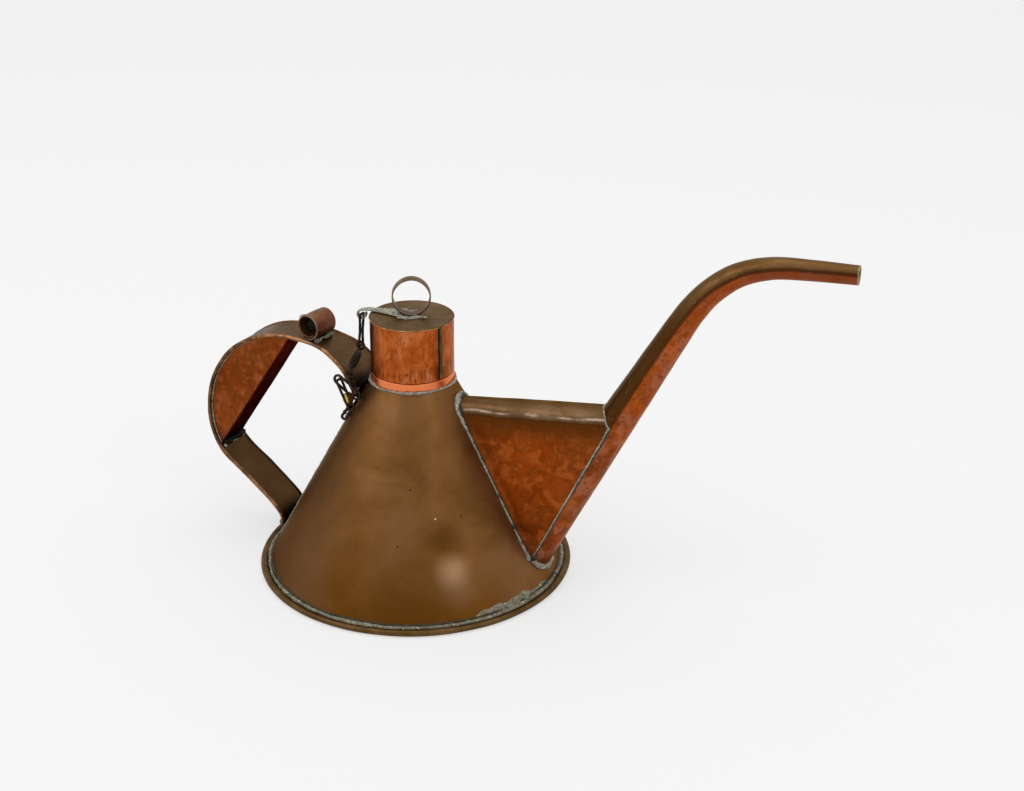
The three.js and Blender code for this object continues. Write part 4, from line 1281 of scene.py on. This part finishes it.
def red_material():
    g = Graph("red_copper_cloudy")
    g.colour = g.mottled(RED_TONES, 26, 0.35, warp=1.2)
    g.patches(0.50, 0.62, 0.65, (98, 52, 10), 9, 5, 0.6, 0.8, shift=13)
    g.patches(0.54, 0.66, 0.5, (164, 92, 56), 8, 4, 0.55, 0.8, shift=17)
    g.paint(g.band(g.z, 70, 60, 0.0, 0.7), (104, 46, 32))
    g.specks(1.5, 0.76, (60, 26, 8), 0.6)
    return g.finish(0.05, (0.30, 0.44, 9), 0.94)


def web_material():
    """Cloudy orange on the sides, brown over the fold, with a painted highlight along the fold and painted
    shade in the crease under it.
    """
    g = Graph("folded_copper")
    g.colour = g.mottled(RED_TONES, 30, 0.3, warp=1.3)
    g.patches(0.50, 0.66, 0.6, (100, 54, 12), 14, 5, 0.6, 0.8, shift=13)
    g.paint(g.near((80, -12, 78), 4, 40), (160, 66, 8), 0.55)
    g.patches(0.48, 0.60, 0.55, (106, 48, 10), 7, 5, 0.62, 0.9, shift=19)
    g.patches(0.54, 0.64, 0.5, (176, 88, 36), 10, 4, 0.55, 0.9, shift=23)
    crest = g.mottled([(0.32, (84, 62, 36)), (0.5, (102, 77, 50)), (0.68, (116, 90, 64))], 20, 0.25)
    sway = g.product(g.math("SUBTRACT", g.noise(26, 3, 0.5, shift=6), 0.5), 5 * MM)
    level = g.math("ADD", g.axis("Z", g.place()), sway)
    g.paint(g.band(level, -24, -10.5, 0.0, 0.85), (84, 44, 10))
    g.colour = g.blend(g.band(level, -8.5, -7.2), g.colour, crest)
    # A painted highlight along the fold, broken up by noise.
    patchy = g.ranged(g.noise(13, 4, 0.6, shift=16), 0.42, 0.62, 0.1, 0.8)
    g.paint(g.product(g.band(level, -6.2, -5.4), g.band(level, -4.0, -5.0), patchy), (206, 176, 156))
    # Painted shade: a dark line in the crease under the painted highlight.
    g.paint(g.product(g.band(level, -9.8, -8.6), g.band(level, -6.6, -7.8)), (70, 38, 14), 0.6)
    g.specks(1.5, 0.76, (60, 26, 8), 0.6)
    return g.finish(0.06, (0.30, 0.44, 10), 0.93, DEEP_TINT)


def spout_material():
    """Brown over its back, red under it, with a thin dark line between the two and a pale rim at the tip."""
    g = Graph("spout_copper")
    place = g.place()
    along, down = g.axis("X", place), g.axis("Y", place)
    g.colour = g.mottled(RED_TONES, 20, 0.35, (0.6, 1, 1), place, 0.9)
    g.paint(g.band(along, 100, 160, 0.0, 0.45), (176, 84, 28))
    g.patches(0.50, 0.62, 0.55, (184, 84, 20), 19, 3, 0.5, 0.6, source=place, shift=25)
    g.patches(0.49, 0.62, 0.7, (162, 96, 68), 9, 5, 0.6, 0.6, (0.5, 1, 1), place, 15)
    g.patches(0.54, 0.62, 0.6, (96, 42, 12), 3.2, 5, 0.65, 0.8, source=place, shift=27)
    g.paint(g.band(along, 200, 270, 0.0, 0.7), (112, 52, 26))
    under = g.colour
    tones = [(0.32, (76, 48, 18)), (0.5, (104, 74, 40)), (0.68, (120, 90, 62))]
    g.colour = g.mottled(tones, 24, 0.25, (0.5, 1, 1), place)
    # Painted shade: darker brown along the middle of the spout's back.
    g.paint(g.product(g.band(along, 90, 120), g.band(along, 235, 185)), (70, 40, 4), 0.9)
    wave = g.math("SUBTRACT", g.noise(34, 3, 0.5, 0.0, (0.6, 1, 1), place, 2), 0.5)
    level = g.math("ADD", down, g.product(wave, 4.5 * MM))
    g.colour = g.blend(g.band(level, -2.2, -0.4), g.colour, under)
    g.paint(g.product(g.band(level, -2.6, -1.3), g.band(level, 0.6, -0.4)), (52, 28, 10), 0.75)
    g.paint(g.band(along, 309.8, 310.8), (158, 150, 110), 0.85)
    g.patches(0.68, 0.74, 0.35, (180, 138, 106), 1.1, 2, 0.5, 0.0, (0.12, 1, 1), place, 5)
    g.specks(1.5, 0.76, (52, 24, 10), 0.7)
    return g.finish(0.05, (0.30, 0.44, 9), 0.93)


def maroon_material():
    """A dark skin with hardly any gloss."""
    g = Graph("maroon_lacquer")
    g.colour = g.mottled([(0.34, (34, 5, 4)), (0.5, (50, 10, 8)), (0.68, (68, 20, 14))], 18, 0.15)
    g.paint(g.band(g.z, 100, 140, 0.0, 0.5), (92, 28, 18))
    g.paint(g.band(g.z, 72, 60, 0.0, 0.8), (16, 4, 4))
    g.shader.inputs["Specular IOR Level"].default_value = 0.0
    g.shader.inputs["IOR"].default_value = 1.02
    return g.finish(0.04, (0.50, 0.62, 9), 0.0)


def solder_material(name, tones):
    g = Graph(name)
    g.colour = g.mottled(tones, 5.5, 0.5, warp=0.8)
    g.patches(0.58, 0.66, 0.85, (46, 42, 24), 1.6, 3, 0.6, shift=3)
    g.patches(0.54, 0.66, 0.4, (96, 106, 84), 9, 3, 0.5, shift=31)
    g.patches(0.54, 0.64, 0.4, (124, 108, 108), 11, 3, 0.5, shift=37)
    # Painted glints: sparse near-white specks on the solder.
    g.patches(0.66, 0.70, 0.9, (214, 206, 188), 2.4, 2, 0.5, shift=41)
    return g.finish(0.35, (0.5, 0.8, 3), 0.2, grain=SOLDER_GRAIN)


def roll_material():
    """Brown rolled copper, redder to the right."""
    g = Graph("thumb_rest_copper")
    g.colour = g.mottled([(0.32, (88, 56, 32)), (0.5, (116, 80, 54)), (0.68, (134, 98, 74))], 9, 0.3)
    g.paint(g.band(g.x, -68, -58, 0.0, 0.6), (104, 46, 40))
    return g.finish(0.05, (0.32, 0.48, 6), 0.9)


def ring_material():
    """Brown band, greyer where it meets the lid."""
    g = Graph("aged_copper_ring")
    g.colour = g.mottled([(0.32, (76, 58, 40)), (0.5, (106, 86, 62)), (0.68, (130, 108, 80))], 7, 0.4)
    g.paint(g.band(g.z, RING_LOW_Z + 11, RING_LOW_Z + 3, 0.0, 0.7), (84, 58, 56))
    return g.finish(0.05, (0.32, 0.5, 5), 0.92)


PLAIN_LOOKS = {  # slot, name, tones, size, share of the fine mottling, bump, roughness, metallic, gloss
    # Dark dirt with painted shade, for the tubes beside the seams.
    "dirt_and_shade": ("solder", "flux_stain", [(0.34, (24, 19, 9)), (0.5, (54, 44, 22)), (0.66, (86, 74, 42))],
              4, 0.5, 0.15, (0.5, 0.75, 3), 0.3, 0.5),
    "seam": ("solder", "cap_lap_dark", [(0.34, (50, 34, 14)), (0.5, (86, 62, 30)), (0.66, (118, 92, 54))],
             4, 0.5, 0.12, (0.40, 0.6, 3), 0.7, 0.5, (1, 1, 0.35)),
    # Near-black, for painted shade and shadows.
    "soot": ("dark_bronze", "soot_black", [(0.34, (8, 6, 5)), (0.5, (18, 13, 10)), (0.66, (38, 30, 22))],
             4, 0.5, 0.15, (0.6, 0.8, 3), 0.0, 0.1),
    "bronze": ("dark_bronze", "dark_bronze_worn",
               [(0.32, (22, 16, 14)), (0.5, (44, 34, 28)), (0.62, (70, 56, 46)), (0.72, (112, 98, 78))],
               3.5, 0.5, 0.08, (0.24, 0.42, 3), 0.88, 0.5),
    "brass": ("pale_brass", "pale_brass_worn",
              [(0.32, (140, 104, 40)), (0.5, (202, 168, 88)), (0.68, (236, 214, 150))],
              3.5, 0.4, 0.06, (0.24, 0.4, 3), 0.95, 0.5),
    # Worn copper that also stands in for a painted highlight round the lid.
    "rim": ("bright_copper", "rubbed_copper_rim",
            [(0.34, (110, 72, 44)), (0.5, (168, 122, 82)), (0.66, (214, 176, 132))],
            5, 0.4, 0.03, (0.28, 0.42, 4), 0.9, 0.5),
}


def plain_material(name, tones, size, share, depth, satin, metallic, gloss, stretch=(1, 1, 1)):
    g = Graph(name)
    g.colour = g.mottled(tones, size, share, stretch)
    g.shader.inputs["Specular IOR Level"].default_value = gloss
    return g.finish(depth, satin, metallic)


def make_looks():
    """Each look's slot in the record and its material."""
    looks = {look: (slot, plain_material(*facts)) for look, (slot, *facts) in PLAIN_LOOKS.items()}
    return looks | {
        "cone": ("patina_copper", cone_material()),
        "ring": ("patina_copper", ring_material()),
        "olive": ("olive_copper", olive_material()),
        "strap": ("olive_copper", strap_material()),
        "bright": ("bright_copper", bright_material()),
        "edge": ("bright_copper", edge_material()),
        "red": ("red_copper", red_material()),
        "web": ("red_copper", web_material()),
        "spout": ("red_copper", spout_material()),
        "roll": ("red_copper", roll_material()),
        "maroon": ("maroon_copper", maroon_material()),
        "pale": ("solder", solder_material("solder_pale", PALE_TONES)),
        "dull": ("solder", solder_material("solder_dull", DULL_TONES)),
    }


# ---------------------------------------------------------------- floor, light and camera, in metres

FLOOR_REACH = 6.0
FLOOR_DROP = 0.0002
FLOOR_COLOUR = (0.30, 0.30, 0.30, 1)
FLOOR_GLOW = 0.55
ROOM_LIGHT = 0.84
ROOM_LOBES = [  # direction, cosines at its edge and its middle, light added: above, behind the camera, left
    ((0, 0, 1), 0.0, 1.0, 0.25),
    ((0.30, -0.92, 0.25), 0.35, 1.0, -0.15),
    ((-0.8, -0.45, 0.4), 0.5, 1.0, 0.06),
]
LAMPS = [  # name, place, size, power
    ("key", (-1.1, -1.0, 1.5), 1.3, 7),
    ("fill", (1.5, -0.7, 1.2), 1.2, 3.5),
    ("top", (0.1, 0.2, 1.9), 1.4, 4),
]
CAMERA_TARGET = Vector((0.0525, 0.0362, 0.1062))
CAMERA_AZIMUTH = 19
CAMERA_ELEVATION = 23.81
CAMERA_ROLL = 0.38
CAMERA_DISTANCE = 1.01425
CAMERA_LENS = 56.25


def make_floor():
    mesh = bpy.data.meshes.new("floor")
    r = FLOOR_REACH
    mesh.from_pydata([(-r, -r, 0), (r, -r, 0), (r, r, 0), (-r, r, 0)], [], [(0, 1, 2, 3)])
    floor = bpy.data.objects.new("floor", mesh)
    floor.location.z = -FLOOR_DROP
    bpy.context.scene.collection.objects.link(floor)
    material = bpy.data.materials.new("pale_floor")
    material.use_nodes = True
    shader = material.node_tree.nodes["Principled BSDF"]
    for key, value in (("Base Color", FLOOR_COLOUR), ("Emission Color", (1, 1, 1, 1)),
                       ("Emission Strength", FLOOR_GLOW), ("Roughness", 0.9), ("Specular IOR Level", 0.1)):
        shader.inputs[key].default_value = value
    mesh.materials.append(material)


def soft_light(name, at, size, power):
    data = bpy.data.lights.new(name, "AREA")
    data.shape = "DISK"
    data.size = size
    data.energy = power
    light = bpy.data.objects.new(name, data)
    light.location = at
    light.rotation_euler = (CAMERA_TARGET - Vector(at)).to_track_quat("-Z", "Y").to_euler()
    bpy.context.scene.collection.objects.link(light)


def make_world():
    """A pale room: brighter above and to the left, dimmer behind the camera."""
    world = bpy.data.worlds.new("studio")
    world.use_nodes = True
    nodes = Nodes(world.node_tree)
    way = nodes.node("TexCoord", "Generated", {})
    strength = ROOM_LIGHT
    for direction, edge, middle, gain in ROOM_LOBES:
        facing = nodes.node("VectorMath", "Value", {0: way, 1: Vector(direction).normalized()},
                            operation="DOT_PRODUCT")
        strength = nodes.math("ADD", nodes.ranged(facing, edge, middle, 0.0, gain), strength)
    background = world.node_tree.nodes["Background"]
    nodes.put(strength, background.inputs["Strength"])
    background.inputs["Color"].default_value = (1.0, 1.0, 1.0, 1)
    bpy.context.scene.world = world


def make_camera():
    azimuth, elevation, roll = (math.radians(a) for a in (CAMERA_AZIMUTH, CAMERA_ELEVATION, CAMERA_ROLL))
    back = Vector((math.sin(azimuth) * math.cos(elevation), -math.cos(azimuth) * math.cos(elevation),
                   math.sin(elevation)))
    level = Vector((math.cos(azimuth), math.sin(azimuth), 0))
    right = level * math.cos(roll) + back.cross(level) * math.sin(roll)
    data = bpy.data.cameras.new("camera")
    data.lens = CAMERA_LENS
    data.sensor_width = 36
    data.clip_end = 50
    camera = bpy.data.objects.new("camera", data)
    turn = Matrix((right, back.cross(right), back)).transposed().to_4x4()
    camera.matrix_world = Matrix.Translation(CAMERA_TARGET + back * CAMERA_DISTANCE) @ turn
    bpy.context.scene.collection.objects.link(camera)
    bpy.context.scene.camera = camera


# ---------------------------------------------------------------- the whole can

LOOKS.update(make_looks())
for make in (make_cone, make_base, make_foot_solder, make_neck, make_spout, make_spout_solder, make_web,
             make_cap, make_ring, make_tongue, make_strap, make_grip, make_roll, make_handle_solder,
             make_chain):
    make()
make_floor()
make_world()
for lamp in LAMPS:
    soft_light(*lamp)
make_camera()
bpy.context.scene.view_settings.view_transform = "Standard"

bpy.context.view_layer.update()
